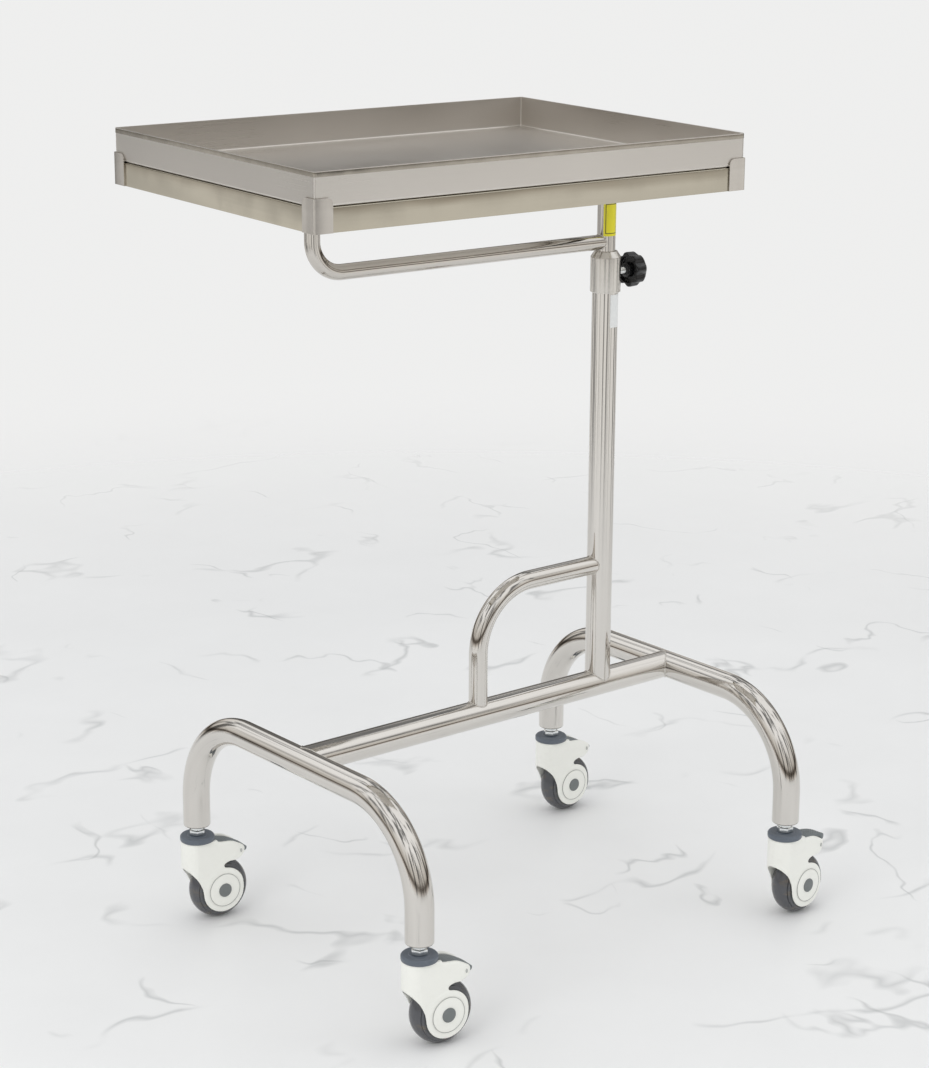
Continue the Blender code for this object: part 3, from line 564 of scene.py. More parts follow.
def star_knob():
    """The knob's profile carried round its stud, with radius x (1 - depth x notch).

    The notch is ((1 - cos(8 turn)) / 2) ^ 1.4, narrower than a lobe. It is full on the rim and
    falls off with the radius, so the boss, the hollow back and the face stay round.
    """
    boss, boss_depth = 0.0090, 0.0056
    back = knob_low + boss_depth
    corners = [
        (STUD_RADIUS + 0.0002, knob_low + 0.0030),
        (STUD_RADIUS + 0.0002, knob_low),
        (0.0064, knob_low),
        (0.0068, knob_low + 0.0022),
        (boss, knob_low + 0.0026),
        (boss, back + 0.0060),
        (0.0165, back + 0.0060),
        (0.0170, back),
        (KNOB_RADIUS - 0.0004, back),
        (KNOB_RADIUS, back + 0.0030),
        (KNOB_RADIUS - 0.0004, knob_high - 0.0050),
        (KNOB_RADIUS * 0.80, knob_high),
        (0.0100, knob_high),
        (0.0090, knob_high - 0.0012),
        (0.0, knob_high - 0.0012),
    ]
    back_radii = [0, 0.0003, 0.0004, 0.0004, 0.0005, 0.0012, 0.0012, 0.0007]
    face_radii = [0.0010, 0.0015, 0.0030, 0.0030, 0.0005, 0.0005, 0]
    profile = rounded(corners, back_radii + face_radii, 7, closed=False)[0]
    radius, height = profile[:, :1], profile[:, 1:]
    turn = np.linspace(0, 2 * math.pi, 256, endpoint=False)[None, :]
    share = np.clip((radius - LOBE_START) / (KNOB_RADIUS - LOBE_START), 0, 1)
    notch = ((1 - np.cos(LOBES * (turn + KNOB_TURN))) / 2) ** LOBE_SHARPNESS
    reach = radius * (1 - LOBE_DEPTH * share * notch)
    return np.stack([height + 0 * turn, reach * np.cos(turn), knob_z + reach * np.sin(turn)], axis=2)


knob = surface(star_knob(), wrap_columns=True)
make_piece("star_knob", [knob], "black_plastic", "clamp_knob", ["knob"], post_axis)

# %% [markdown]
# Two blank labels are wrapped on the tubes: a white one on the post and a yellow one with a thin
# dark frame on the mast. They are sheets 0.15 mm thick, bent round the tube, and carry no print.


# %% Blank labels
def wrapped_patch(radius, turns, heights, thickness=0.00015):
    """A closed thin sheet on a tube: an outline round it in section, carried along the angle."""
    turn = np.radians(np.linspace(*turns, 40))[:, None]
    radii = radius + np.array([0, thickness, thickness, 0])[None, :]
    z = np.array([heights[0], heights[0], heights[1], heights[1]])[None, :] + 0 * turn
    return surface(np.stack([radii * np.cos(turn), radii * np.sin(turn), z], axis=2), wrap_columns=True)


GLUE = 0.00002
INK_DEPTH, INK_THICKNESS = 0.00014, 0.00004
white_turns, white_heights = (-108, -34), (0.7640, 0.8060)
white_label = wrapped_patch(POST_RADIUS + GLUE, white_turns, white_heights)
make_base("post_label", [white_label], "white_label", [])
yellow_turns, yellow_heights = (-147, -39), (0.8800, 0.9240)
yellow_label = wrapped_patch(MAST_RADIUS + GLUE, yellow_turns, yellow_heights)
INK_LINE = 0.0009
INK_INSET_TURN, INK_TURN = 12, 4.5
INK_INSET = 0.0032
left_turn, right_turn = yellow_turns[0] + INK_INSET_TURN, yellow_turns[1] - INK_INSET_TURN
low_z, high_z = yellow_heights[0] + INK_INSET, yellow_heights[1] - INK_INSET
upright, level = (low_z, high_z), (left_turn + INK_TURN, right_turn - INK_TURN)
ink_lines = [
    wrapped_patch(MAST_RADIUS + INK_DEPTH, turns, heights, INK_THICKNESS)
    for turns, heights in (
        ((left_turn, left_turn + INK_TURN), upright),
        ((right_turn - INK_TURN, right_turn), upright),
        (level, (low_z, low_z + INK_LINE)),
        (level, (high_z - INK_LINE, high_z)),
    )
]


def make_upper(name, parts, finish, nodes=(), body="mast_assembly"):
    return make_piece(name, parts, finish, body, nodes, post_axis, mast_turn)


make_upper("mast_label", [yellow_label], "yellow_label")
make_upper("mast_label_frame", ink_lines, "label_ink")

# %% [markdown]
# ## Mast, arm and cross bars
# The mast slides in the post and carries the arm, which leaves it just over the collar and turns
# up under the far end of the tray frame. Two square tubes cross under the tray. Their corners are
# rounded, as those of real square tube are, and they are open at the ends.

# %% Mast, arm and square tubes
ARM_RADIUS = 0.0095
ARM_BEND = 0.0400
arm_x = -float(np.linalg.norm((middle("arm_cross_bar") - middle("mast_cross_bar"))[:2]))
arm_z = bottom("support_arm") + ARM_RADIUS
bar_low, bar_high = bottom("mast_cross_bar"), top("mast_cross_bar")
mast = tube([(0, 0, bottom("mast")), (0, 0, top("mast"))], 0, MAST_RADIUS)
# The mast and arm wear the darker steel copy, a painted shade of the tray over them.
make_upper("mast_tube", [surface(mast, wrap_columns=True)], "painted_shade_mast_steel", ["mast"])
corners = [(0, 0, arm_z), (arm_x, 0, arm_z), (arm_x, 0, top("support_arm"))]
arm = tube(corners, ARM_BEND, ARM_RADIUS, (((0, 0, 1), MAST_RADIUS), None))
make_upper("arm_tube", [surface(arm, wrap_columns=True)], "painted_shade_mast_steel", ["support_arm"])
arm_weld = surface(bead(arm[0], SEAM_RADIUS), wrap_rows=True, wrap_columns=True)
make_upper("arm_weld", [arm_weld], "satin_steel", [])

TRAY_X, TRAY_Y, TRAY_CENTRE_X = 0.6000, 0.4452, -0.2710
RAIL_SHEET = 0.0020
BAR_WALL, BAR_CORNER = 0.0015, 0.0022
bar_half = (bar_high - bar_low) / 2
bar_reach = TRAY_Y / 2 - RAIL_SHEET - 0.0003


def square_tube(x):
    """A square with rounded corners carried along Y, outer skin out and inner skin back."""
    rings = []
    for half, corner in ((bar_half, BAR_CORNER), (bar_half - BAR_WALL, BAR_CORNER - BAR_WALL)):
        square = rounded([(-half, -half), (half, -half), (half, half), (-half, half)], corner, 6)[0]
        rings.append(square + (x, bar_low + bar_half))
    outer, inner = rings
    stations = [(outer, -bar_reach), (outer, bar_reach), (inner, bar_reach), (inner, -bar_reach)]
    return np.stack([np.insert(ring, 1, y, axis=1) for ring, y in stations])


for name, x in (("mast_cross_bar", 0.0), ("arm_cross_bar", arm_x)):
    bar = surface(square_tube(x), wrap_rows=True, wrap_columns=True)
    make_upper(f"{name}_tube", [bar], "satin_steel", [name])

# %% [markdown]
# ## Tray frame
# Four angle rails make the frame: each is sheet bent once, with an upright face outside and a shelf
# under the tray, mitred at the corners. A bent plate wraps each corner and stands up past the
# tray's wall, so the tray can't slide off. Its free top corners are rounded.

# %% Rails
rail_low, rail_high = bottom("rail_front"), top("rail_front")
RAIL_SHELF = 0.0240
RAIL_BEND = 0.0016
half_x, half_y = TRAY_X / 2 + 0.0001, TRAY_Y / 2 + 0.0001
angle_corners = [
    (0, rail_low),
    (0, rail_high),
    (RAIL_SHELF, rail_high),
    (RAIL_SHELF, rail_high - RAIL_SHEET),
    (RAIL_SHEET, rail_high - RAIL_SHEET),
    (RAIL_SHEET, rail_low),
]
angle_radii = [0.0003, RAIL_BEND, 0.0003, 0.0003, 0.0006, 0.0003]
angle = rounded(angle_corners, angle_radii, 6)[0]


def rail(outward, half_length, distance):
    """The angle section carried along one side, its ends cut back by the inset for a mitre."""
    inset, z = angle[:, 0], angle[:, 1]
    across = np.array([-outward[1], outward[0]])
    rings = []
    for end in (-1, 1):
        out = (distance - inset)[:, None] * np.array(outward)
        reach = (end * (half_length - inset))[:, None] * across
        rings.append(np.column_stack([out + reach + (TRAY_CENTRE_X, 0), z]))
    return np.stack(rings)


for side, outward, half_length, distance in (
    ("front", (0, -1), half_x, half_y),
    ("back", (0, 1), half_x, half_y),
    ("left", (-1, 0), half_y, half_x),
    ("right", (1, 0), half_y, half_x),
):
    part = surface(rail(outward, half_length, distance), wrap_columns=True)
    make_upper(f"{side}_rail_angle", [part], "rail_steel", [f"rail_{side}"])

# %% Corner plates
plate_top = top("tray_corner_front_left")
PLATE_WIDTH, PLATE_ROUNDING = 0.0225, 0.0070
PLATE_INNER, PLATE_OUTER = 0.0002, 0.0019
PLATE_BEND = 0.0020


def corner_plate(side_x, side_y):
    """A bent strip: its plan runs along one wing, round the bend and along the other.

    The height at a distance from a wing's end follows a quarter circle until it is full.
    """
    wing = PLATE_WIDTH - PLATE_ROUNDING * (1 - np.cos(np.linspace(0, math.pi / 2, 12)))
    height = plate_top - PLATE_ROUNDING * (1 - np.sin(np.linspace(0, math.pi / 2, 12)))
    bend = np.linspace(0, math.pi / 2, 9)
    stations = []
    for depth in (PLATE_OUTER, PLATE_INNER):
        radius = PLATE_BEND - (PLATE_OUTER - depth)
        corner = depth - radius
        arc_x = corner + radius * np.cos(bend)
        arc_y = corner + radius * np.sin(bend)
        x = np.concatenate([-wing * 0 + depth, arc_x, -wing[::-1]])
        y = np.concatenate([-wing, arc_y, wing * 0 + depth])
        stations.append((TRAY_CENTRE_X + side_x * (TRAY_X / 2 + x), side_y * (TRAY_Y / 2 + y)))
    tops = np.concatenate([height, np.full(len(bend), plate_top), height[::-1]])
    (outer_x, outer_y), (inner_x, inner_y) = stations
    lows = np.full(len(tops), rail_low)
    columns = (
        (outer_x, outer_y, lows),
        (outer_x, outer_y, tops),
        (inner_x, inner_y, tops),
        (inner_x, inner_y, lows),
    )
    return np.stack([np.column_stack(column) for column in columns], axis=1)


def soften(piece, width=0.0003):
    """A Bevel modifier that rounds the sharp edges a little."""
    bevel = piece.modifiers.new("soft_edges", "BEVEL")
    bevel.width = width
    bevel.segments = 2
    bevel.limit_method = "ANGLE"
    bevel.angle_limit = math.radians(50)


for row, side_y in (("front", -1), ("back", 1)):
    for column, side_x in (("left", -1), ("right", 1)):
        name = f"tray_corner_{row}_{column}"
        plate = surface(corner_plate(side_x, side_y), wrap_columns=True)
        soften(make_upper(f"{name}_plate", [plate], "plate_steel", [name]))

# %% [markdown]
# ## The tray
# The tray is one sheet folded up on four sides and welded at the corners, and its rim is hemmed
# over outwards so that it is safe to hold. The profile of floor, fold and wall is carried round a
# rectangle whose corner radius shrinks with the inset, and the hem is a second ring round the
# wall. The tray lifts out, so it rides on its own body.

# %% Tray
TRAY_SHEET = 0.0010
TRAY_FOLD = 0.0032
TRAY_CORNER = 0.0030
HEM_HEIGHT, HEM_PROUD = 0.0062, 0.0008
RIM_PROUD = 0.0006
tray_low, tray_rim = bottom("tray"), top("tray")


def tray_ring(inset, z):
    """The rectangle at an inset from the tray's wall, with rounded corners."""
    corner = max(TRAY_CORNER - inset, 0.0008)
    x, y = TRAY_X / 2 - inset, TRAY_Y / 2 - inset
    ring = rounded([(x, y), (-x, y), (-x, -y), (x, -y)], corner, 10)[0]
    return np.column_stack([ring + (TRAY_CENTRE_X, 0), np.full(len(ring), z)])


def tray_profile():
    """(inset, height) from under the floor, up the outside, over the edge and down the inside."""
    floor = tray_low + TRAY_SHEET
    outside = [
        (TRAY_FOLD * 2, tray_low),
        (0, tray_low),
        (0, tray_rim - 0.0012),
        (-RIM_PROUD, tray_rim - 0.0010),
    ]
    inside = [
        (-RIM_PROUD, tray_rim),
        (TRAY_SHEET, tray_rim),
        (TRAY_SHEET, floor),
        (TRAY_FOLD * 2, floor),
    ]
    radii = [0, TRAY_FOLD, 0.0001, 0.0001, 0.0003, 0.0003, TRAY_FOLD - TRAY_SHEET, 0]
    return rounded(outside + inside, radii, 8, closed=False)[0]


def hem_profile():
    """The hem's section: a narrow upright rectangle against the outside of the wall."""
    outer, inner = -HEM_PROUD, 0.0004
    low, high = tray_rim - HEM_HEIGHT, tray_rim - 0.0009
    return rounded([(outer, low), (outer, high), (inner, high), (inner, low)], 0.0003, 6)[0]


def corner_weld(side_x, side_y):
    """A thin upright bead where two walls of the tray meet."""
    away = TRAY_CORNER * (1 - math.sqrt(0.5)) + 0.0001
    x, y = TRAY_CENTRE_X + side_x * (TRAY_X / 2 - away), side_y * (TRAY_Y / 2 - away)
    line = [(x, y, tray_low + TRAY_FOLD), (x, y, tray_rim - HEM_HEIGHT)]
    return surface(tube(line, 0, 0.0007, sides=16), wrap_columns=True)


rings = np.stack([tray_ring(inset, z) for inset, z in tray_profile()])
tray = surface(rings, wrap_columns=True)
make_upper("folded_tray", [tray], "tray_steel", ["tray"], body="tray")
rings = np.stack([tray_ring(inset, z) for inset, z in hem_profile()])
hem = surface(rings, wrap_rows=True, wrap_columns=True)
# The hem's darker steel is a painted dark reflection band.
make_upper("tray_hem", [hem], "painted_reflection_hem_steel", [], body="tray")
welds = [corner_weld(side_x, side_y) for side_x in (-1, 1) for side_y in (-1, 1)]
make_upper("tray_corner_welds", welds, "polished_steel", [], body="tray")

# %% [markdown]
# ## Solid shapes from distances
# The caster's housing is one moulding: a round neck, a hood, two flat cheeks and a slot, all with
# soft edges. No single grid wraps it. The way used here is a distance field: a number at every
# point of a box, negative inside the plastic. Outlines give distances, and a rounded maximum of
# two of them is their overlap with a fillet. The skin is then drawn where the number is zero.


# %% Distances and skins
def outline_distance(outline, a, b):
    """The signed distance of grid points to a closed outline, negative inside.

    It is the least distance to a side, and a point is inside if a ray from it crosses an odd
    number of sides.
    """
    points = np.stack([a, b], axis=-1)[..., None, :]
    start, end = outline, np.roll(outline, -1, 0)
    side = end - start
    share = ((points - start) * side).sum(-1) / np.maximum((side**2).sum(-1), 1e-18)
    nearest = start + np.clip(share, 0, 1)[..., None] * side
    distance = np.sqrt(((points - nearest) ** 2).sum(-1)).min(-1)
    x, y = points[..., 0], points[..., 1]
    spans = (start[:, 1] > y) != (end[:, 1] > y)
    slope = side[:, 0] / np.where(side[:, 1] == 0, 1e-18, side[:, 1])
    crossed = spans & (x < start[:, 0] + (y - start[:, 1]) * slope)
    return np.where(crossed.sum(-1) % 2 == 1, -distance, distance)


def both(a, b, fillet):
    """The overlap of two solids, with its edge rounded to a fillet."""
    corner = np.hypot(np.maximum(a + fillet, 0), np.maximum(b + fillet, 0)) - fillet
    return np.where((a > -fillet) & (b > -fillet), corner, np.maximum(a, b))


def skin(field, low, step):
    """The surface where a field is zero, as points and quads.

    Each cell of the box that the surface passes through gets one point, the mean of the places
    where its twelve edges cross zero. Each crossed edge joins the points of the four cells round it.
    """
    shape = np.array(field.shape)
    cells = shape - 1
    total, count = np.zeros((*cells, 3)), np.zeros(cells)
    index = np.indices(cells)
    crossings = []
    for axis in range(3):
        first = np.delete(field, -1, axis)
        second = np.delete(field, 0, axis)
        crossed = (first < 0) != (second < 0)
        share = np.where(crossed, first / np.where(crossed, first - second, 1), 0)
        crossings.append(crossed)
        others = [a for a in range(3) if a != axis]
        for shift_b in (0, 1):
            for shift_c in (0, 1):
                part = [slice(None)] * 3
                part[others[0]] = slice(shift_b, cells[others[0]] + shift_b)
                part[others[1]] = slice(shift_c, cells[others[1]] + shift_c)
                hit = crossed[tuple(part)]
                count += hit
                total[..., axis] += hit * (index[axis] + share[tuple(part)])
                total[..., others[0]] += hit * (index[others[0]] + shift_b)
                total[..., others[1]] += hit * (index[others[1]] + shift_c)
    used = count > 0
    number = np.full(cells, -1)
    number[used] = np.arange(used.sum())
    points = low + step * total[used] / count[used][:, None]
    quads = []
    for axis in range(3):
        others = [a for a in range(3) if a != axis]
        inner = [slice(None)] * 3
        inner[others[0]] = slice(1, -1)
        inner[others[1]] = slice(1, -1)
        corners = []
        for back_b, back_c in ((1, 1), (0, 1), (0, 0), (1, 0)):
            part = [slice(None)] * 3
            part[others[0]] = slice(1 - back_b, cells[others[0]] - back_b)
            part[others[1]] = slice(1 - back_c, cells[others[1]] - back_c)
            corners.append(number[tuple(part)])
        hit = crossings[axis][tuple(inner)]
        quads.append(np.stack([corner[hit] for corner in corners], axis=1))
    quads = np.concatenate(quads)
    return points, quads, np.zeros((len(quads), 4, 2))


# %% [markdown]
# ## Casters
# Each caster hangs on a threaded stem with a spanner hexagon, in a plug welded into the leg. A
# grey bearing cover lies on the ivory housing, which holds the wheel between two cheeks, and a
# brake pedal lies in the housing's top. The wheel's dark tread shows in front, below and through
# the slot behind. All of it is made once, about the stem's axis, and placed four times.

# %% Caster sizes
AXLE_X, AXLE_Z = 0.0287, 0.0400
CHEEK_RADIUS = 0.0300
CHEEK_Y = 0.0196
WEB_Y = 0.0190
NECK_RADIUS = 0.0215
neck_top = bottom("front_left_swivel_ring") - 0.0003
WELL_RADIUS, WELL_Y = 0.0425, 0.0163
PEDAL_X, PEDAL_Z = 0.030, 0.100
PEDAL_HALF_WIDTH = 0.0125
PEDAL_TRAVEL = math.radians(14)
PEDAL_TIP, PEDAL_HEEL = (0.0678, 0.0891), (0.0568, 0.0912)
PEDAL_TOP = [(0.0262, 0.1046), (0.0340, 0.1042), (0.0450, 0.1012), (0.0570, 0.0956), PEDAL_TIP]
PEDAL_SLACK = 0.0008
DISC_RADIUS, CAP_RADIUS = 0.0220, 0.0091
STEM_COLLAR = 0.0058
NECK_WALL = 0.0022
ROOM_TOP, ROOM_END = 0.0800, 0.0120
POCKET_DEPTH, POCKET_SLACK = 0.0011, 0.0003
BORE_RADIUS, BORE_LOW = 0.0064, 0.0945
PLAN_FILLET, SIDE_FILLET = 0.0030, 0.0016
HOLLOW_FILLET, ROOM_FILLET = 0.0008, 0.0006
SKIN_STEP, PEDAL_STEP = 0.0008, 0.0006
axle = np.array([AXLE_X, 0, AXLE_Z])


# %% Housing
def housing_outlines():
    """The housing from the side, as (x, z), and from above, as (x, y)."""
    hood_top = [(0.0263, 0.1064), (0.0418, 0.1042), (0.0528, 0.0990), (0.0585, 0.0955)]
    hood = smooth_curve([(0.0195, neck_top), (0.0212, 0.1080), *hood_top])
    end_low = [(0.0606, 0.0858), (0.0562, 0.0812), (0.0500, 0.0784)]
    hood_end = smooth_curve([(0.0592, 0.0950), (0.0614, 0.0910), *end_low])
    slot_front = [(0.0318, 0.0761), (0.0293, 0.0735), (0.0303, 0.0707)]
    slot = smooth_curve([(0.0458, 0.0776), (0.0380, 0.0778), *slot_front])
    cheek = arc((AXLE_X, AXLE_Z), CHEEK_RADIUS, 82, -178, 90)
    front = smooth_curve([(-0.0030, 0.0475), (-0.0085, 0.0588), (-0.0160, 0.0690), (-NECK_RADIUS, 0.0745)])
    before_neck = -NECK_RADIUS - 0.002
    side = np.vstack([[(before_neck, neck_top)], hood, hood_end, slot, cheek, front, [(before_neck, 0.0747)]])
    tail = np.array([(0.0440, -CHEEK_Y), (0.0560, -0.0182), (0.0625, -0.0150)])
    plan = np.vstack([arc((0, 0), NECK_RADIUS, 180 - 65.7, 180 + 65.7, 60), tail, tail[::-1] * (1, -1)])
    return side, plan


def housing_skin():
    """The overlap of the side and plan outlines, less the wheel's well and the pedal's channel."""
    low = np.array([-0.0230, -0.0216, 0.0080])
    high = np.array([0.0640, 0.0216, 0.1125])
    axes = [np.arange(a, b, SKIN_STEP) for a, b in zip(low, high)]
    x, y, z = np.meshgrid(*axes, indexing="ij", sparse=True)
    side_outline, plan_outline = housing_outlines()
    side = outline_distance(side_outline, *np.meshgrid(axes[0], axes[2], indexing="ij"))[:, None, :]
    plan = outline_distance(plan_outline, *np.meshgrid(axes[0], axes[1], indexing="ij"))[:, :, None]
    from_axle = np.hypot(x - AXLE_X, z - AXLE_Z)
    raised = np.clip((CHEEK_RADIUS + 0.0003 - from_axle) / 0.0012, 0, 1)
    cheek = np.abs(y) - (WEB_Y + (CHEEK_Y - WEB_Y) * raised * raised * (3 - 2 * raised))
    solid = both(side, both(plan, cheek + 0 * side, PLAN_FILLET), SIDE_FILLET)
    well = np.maximum(from_axle - WELL_RADIUS, np.abs(y) - WELL_Y)
    solid = both(solid, -well, HOLLOW_FILLET)
    room = np.maximum(np.hypot(x, y) - NECK_RADIUS + NECK_WALL, np.abs(y) - WELL_Y)
    room = np.maximum(np.maximum(room, z - ROOM_TOP), x - ROOM_END)
    solid = both(solid, -room, ROOM_FILLET)
    floor = 0.0940 - np.clip(x - 0.0440, 0, 0.0080) * 0.875 - np.clip(x - 0.0520, 0, 1) * 0.5
    channel = np.maximum(np.maximum(floor - z, 0.0158 - x), np.abs(y) - PEDAL_HALF_WIDTH - PEDAL_SLACK)
    solid = both(solid, -channel, HOLLOW_FILLET)
    pocket = np.maximum(from_axle - DISC_RADIUS - POCKET_SLACK, CHEEK_Y - POCKET_DEPTH - np.abs(y))
    solid = np.maximum(solid, -pocket)
    bore = np.maximum(np.hypot(x, y) - BORE_RADIUS, BORE_LOW - z)
    return skin(np.maximum(solid, -bore), low, SKIN_STEP)


housing = housing_skin()
print("housing skin:", len(housing[1]), "faces")


# %% Pedal
def pedal_skin():
    """The pedal's side outline between two flanks, with soft edges, pressed down."""
    lip_low = [(0.0674, 0.0862), (0.0640, 0.0848), (0.0608, 0.0846), (0.0592, 0.0862)]
    lip = smooth_curve([PEDAL_TIP, *lip_low, PEDAL_HEEL])
    under = smooth_curve([PEDAL_HEEL, (0.0510, 0.0948), (0.0440, 0.0970), (0.0360, 0.0962)])
    boss = arc((PEDAL_X, PEDAL_Z), 0.0042, -65, -165, 12)
    outline = np.vstack([smooth_curve(PEDAL_TOP), lip[1:], under[1:], boss, [(0.0222, 0.1015)]])
    low = np.array([0.0195, -0.0140, 0.0825])
    high = np.array([0.0705, 0.0140, 0.1070])
    axes = [np.arange(a, b, PEDAL_STEP) for a, b in zip(low, high)]
    side = outline_distance(outline, *np.meshgrid(axes[0], axes[2], indexing="ij"))[:, None, :]
    narrowing = 0.0030 * np.clip((axes[0] - 0.060) / 0.008, 0, 1) ** 2
    flank = np.abs(axes[1])[None, :, None] - PEDAL_HALF_WIDTH + narrowing[:, None, None]
    return skin(both(side + 0 * flank, flank + 0 * side, 0.0013), low, PEDAL_STEP)


DOT_RADIUS = 0.0008


def grip_dots():
    """Low domes in rows on the pedal's top, each a few rings of a sphere's cap."""
    path = smooth_curve(PEDAL_TOP[1:], 40)
    way = unit(np.gradient(path, axis=0))
    rows = np.linspace(14, 104, 9).astype(int)
    across = np.linspace(-0.0090, 0.0090, 7)
    lift = np.linspace(0, math.pi / 2, 4)[:, None, None]
    turn = np.linspace(0, 2 * math.pi, 8, endpoint=False)[None, :, None]
    domes = []
    for row in rows:
        along = np.array([way[row][0], 0, way[row][1]])
        up = np.array([-way[row][1], 0, way[row][0]])
        for y in across:
            centre = np.array([path[row][0], y, path[row][1]]) - up * 0.0002
            flat = along * np.cos(turn) + np.array([0, 1, 0]) * np.sin(turn)
            dome = centre + DOT_RADIUS * (flat * np.cos(lift) + 0.8 * up * np.sin(lift))
            domes.append(surface(dome, wrap_columns=True))
    return domes


def raised_by(part, angle):
    """The pedal's points turned up about its pivot."""
    points, quads, uvs = part
    x, z = points[:, 0] - PEDAL_X, points[:, 2] - PEDAL_Z
    c, s = math.cos(angle), math.sin(angle)
    return np.column_stack([PEDAL_X + x * c - z * s, points[:, 1], PEDAL_Z + x * s + z * c]), quads, uvs


pedal = [pedal_skin(), *grip_dots()]
pin_profile = lipped(0.0021, -0.0158, 0.0158, 0.0002)
pedal_pin = surface(spin(pin_profile, "Y", (PEDAL_X, 0, PEDAL_Z), 24), wrap_columns=True)
print("pedal skin:", len(pedal[0][1]), "faces, with", len(pedal) - 1, "dots")

# %% [markdown]
# The round pieces of a caster are all turned: the plug, the bearing cover, the stem, the wheel's
# core, the crowned tread, the cheeks' discs and the hub caps. The spanner hexagon is the odd one,
# so its ring of corners is a rounded hexagon, drawn in a little at top and bottom.


# %% Turned pieces of a caster
def plug_profile():
    low, high = bottom("front_left_leg_insert"), leg_end
    bore = 0.0063
    foot = [(bore, low), (0.0166, low)]
    corners = [(bore, high + 0.006), *foot, (TUBE_RADIUS, high - 0.0002), (0.0155, high)]
    return rounded(corners, [0, 0.0003, 0.0012, 0.0004, 0], 6, closed=False)[0]


def cover_profile():
    low, high = bottom("front_left_swivel_ring"), top("front_left_swivel_ring")
    rim = size("front_left_swivel_ring")[1] / 2
    corners = [
        (0.0063, low),
        (rim - 0.0004, low),
        (rim, low + 0.0012),
        (rim, high - 0.0022),
        (rim - 0.0014, high - 0.0006),
        (0.0132, high - 0.0006),
        (0.0122, high),
        (0.0063, high),
    ]
    return rounded(corners, [0, 0.0003, 0.0006, 0.0008, 0.0006, 0.0005, 0.0005, 0], 5)[0]


def hexagon_grid():
    """A rounded hexagon carried up, with its corners turned off at both faces."""
    low = top("front_left_swivel_ring") + 0.0003
    high = bottom("front_left_leg_insert") - STEM_COLLAR
    across = 0.0108
    turns = np.radians(np.arange(6) * 60)
    flat = rounded(np.stack([across * np.cos(turns), across * np.sin(turns)], axis=1), 0.0005, 5)[0]
    heights = np.array([low, low, low + 0.0008, high - 0.0008, high, high])
    scales = np.array([0.60, 0.90, 1.0, 1.0, 0.90, 0.60])
    plan = flat[None] * scales[:, None, None]
    return np.concatenate([plan, np.broadcast_to(heights[:, None, None], (*plan.shape[:2], 1))], axis=2)


def stem_profile():
    low, high = 0.0960, bottom("front_left_leg_insert") + 0.006
    collar = bottom("front_left_leg_insert") - 0.0003
    corners = [
        (0.0060, low),
        (0.0060, collar - STEM_COLLAR),
        (0.0082, collar - STEM_COLLAR),
        (0.0082, collar),
        (0.0060, collar),
        (0.0060, high),
    ]
    return rounded(corners, [0, 0, 0.0004, 0.0004, 0, 0], 4, closed=False)[0]


def core_profile():
    hub, web, rim, outer, half = 0.0110, 0.0050, 0.0250, 0.0299, 0.0145
    hollow = [(hub, half), (hub + 0.0006, web), (rim - 0.0006, web), (rim, half)]
    upper = [(0.0043, half), *hollow, (outer, half)]
    corners = upper + [(radius, -y) for radius, y in reversed(upper)]
    return rounded(corners, [0.0004, 0.0006, 0.0015, 0.0015, 0.0005, 0.0004] * 2, 5)[0]


def tread_profile():
    """A crown: the radius falls off towards the flanks as an ellipse does, to a small inner flange."""
    t = np.radians(np.linspace(-58, 58, 41))
    crown = np.stack([AXLE_Z - 0.0100 * (1 - np.cos(t)), 0.0145 * np.sin(t)], axis=1)
    inner = 0.0303
    flank = [(0.0338, 0.0124), (0.0338, 0.0129), (0.0346, 0.0133), (0.0326, 0.0150), (inner, 0.0150)]
    flank = rounded(flank, [0.0001, 0.0001, 0.0005, 0.0012, 0], 5, closed=False)[0]
    return np.vstack([flank[::-1] * (1, -1), crown, flank])


def disc_profile(side, radius, inner, outer, edge):
    """A disc on one cheek: flat, with a rounded edge."""
    corners = [(0.0, side * inner), (radius, side * inner), (radius, side * outer), (0.0, side * outer)]
    return rounded(corners, [0, 0, edge, 0], 6, closed=False)[0]


def about_axle(profile, wrap=False, sides=120):
    return surface(spin(profile, "Y", axle, sides), wrap_rows=wrap, wrap_columns=True)


def disc_pair(radius, inner, outer, edge):
    return [about_axle(disc_profile(side, radius, inner, outer, edge)) for side in (-1, 1)]


discs = disc_pair(DISC_RADIUS - 0.0004, 0.0183, CHEEK_Y, 0.0005)
caps = disc_pair(CAP_RADIUS, 0.0185, CHEEK_Y + 0.0012, 0.0006)


def shadow_ring_profile(side):
    """A painted shadow line round a disc: a thin grey ring that fills the gap almost to the top."""
    inner, outer = DISC_RADIUS - 0.0002, DISC_RADIUS + 0.0002
    low, high = side * (CHEEK_Y - 0.0008), side * (CHEEK_Y + 0.00004)
    return [(inner, low), (outer, low), (outer, high), (inner, high)]


# Grey rings in the gaps round the discs: painted shadow lines.
shadow_rings = [about_axle(shadow_ring_profile(side), wrap=True) for side in (-1, 1)]


MARK_PLACE = (0.0540, 0.0895)


def hood_mark():
    """A drop-shaped mark that stands just proud of the hood's side: an outline carried along Y."""
    start = (0.0, -0.0028)
    tip = [(0.0012, -0.0012), (0.0013, 0.0008), (0.0004, 0.0026), (-0.0008, 0.0016), (-0.0011, -0.0008)]
    drop = smooth_curve([start, *tip, start])[:-1]
    rings = []
    for y, share in ((-0.0150, 1.0), (-0.0189, 1.0), (-0.0191, 0.85)):
        x, z = (MARK_PLACE + share * drop).T
        rings.append(np.column_stack([x, np.full(len(drop), y), z]))
    return np.stack(rings)


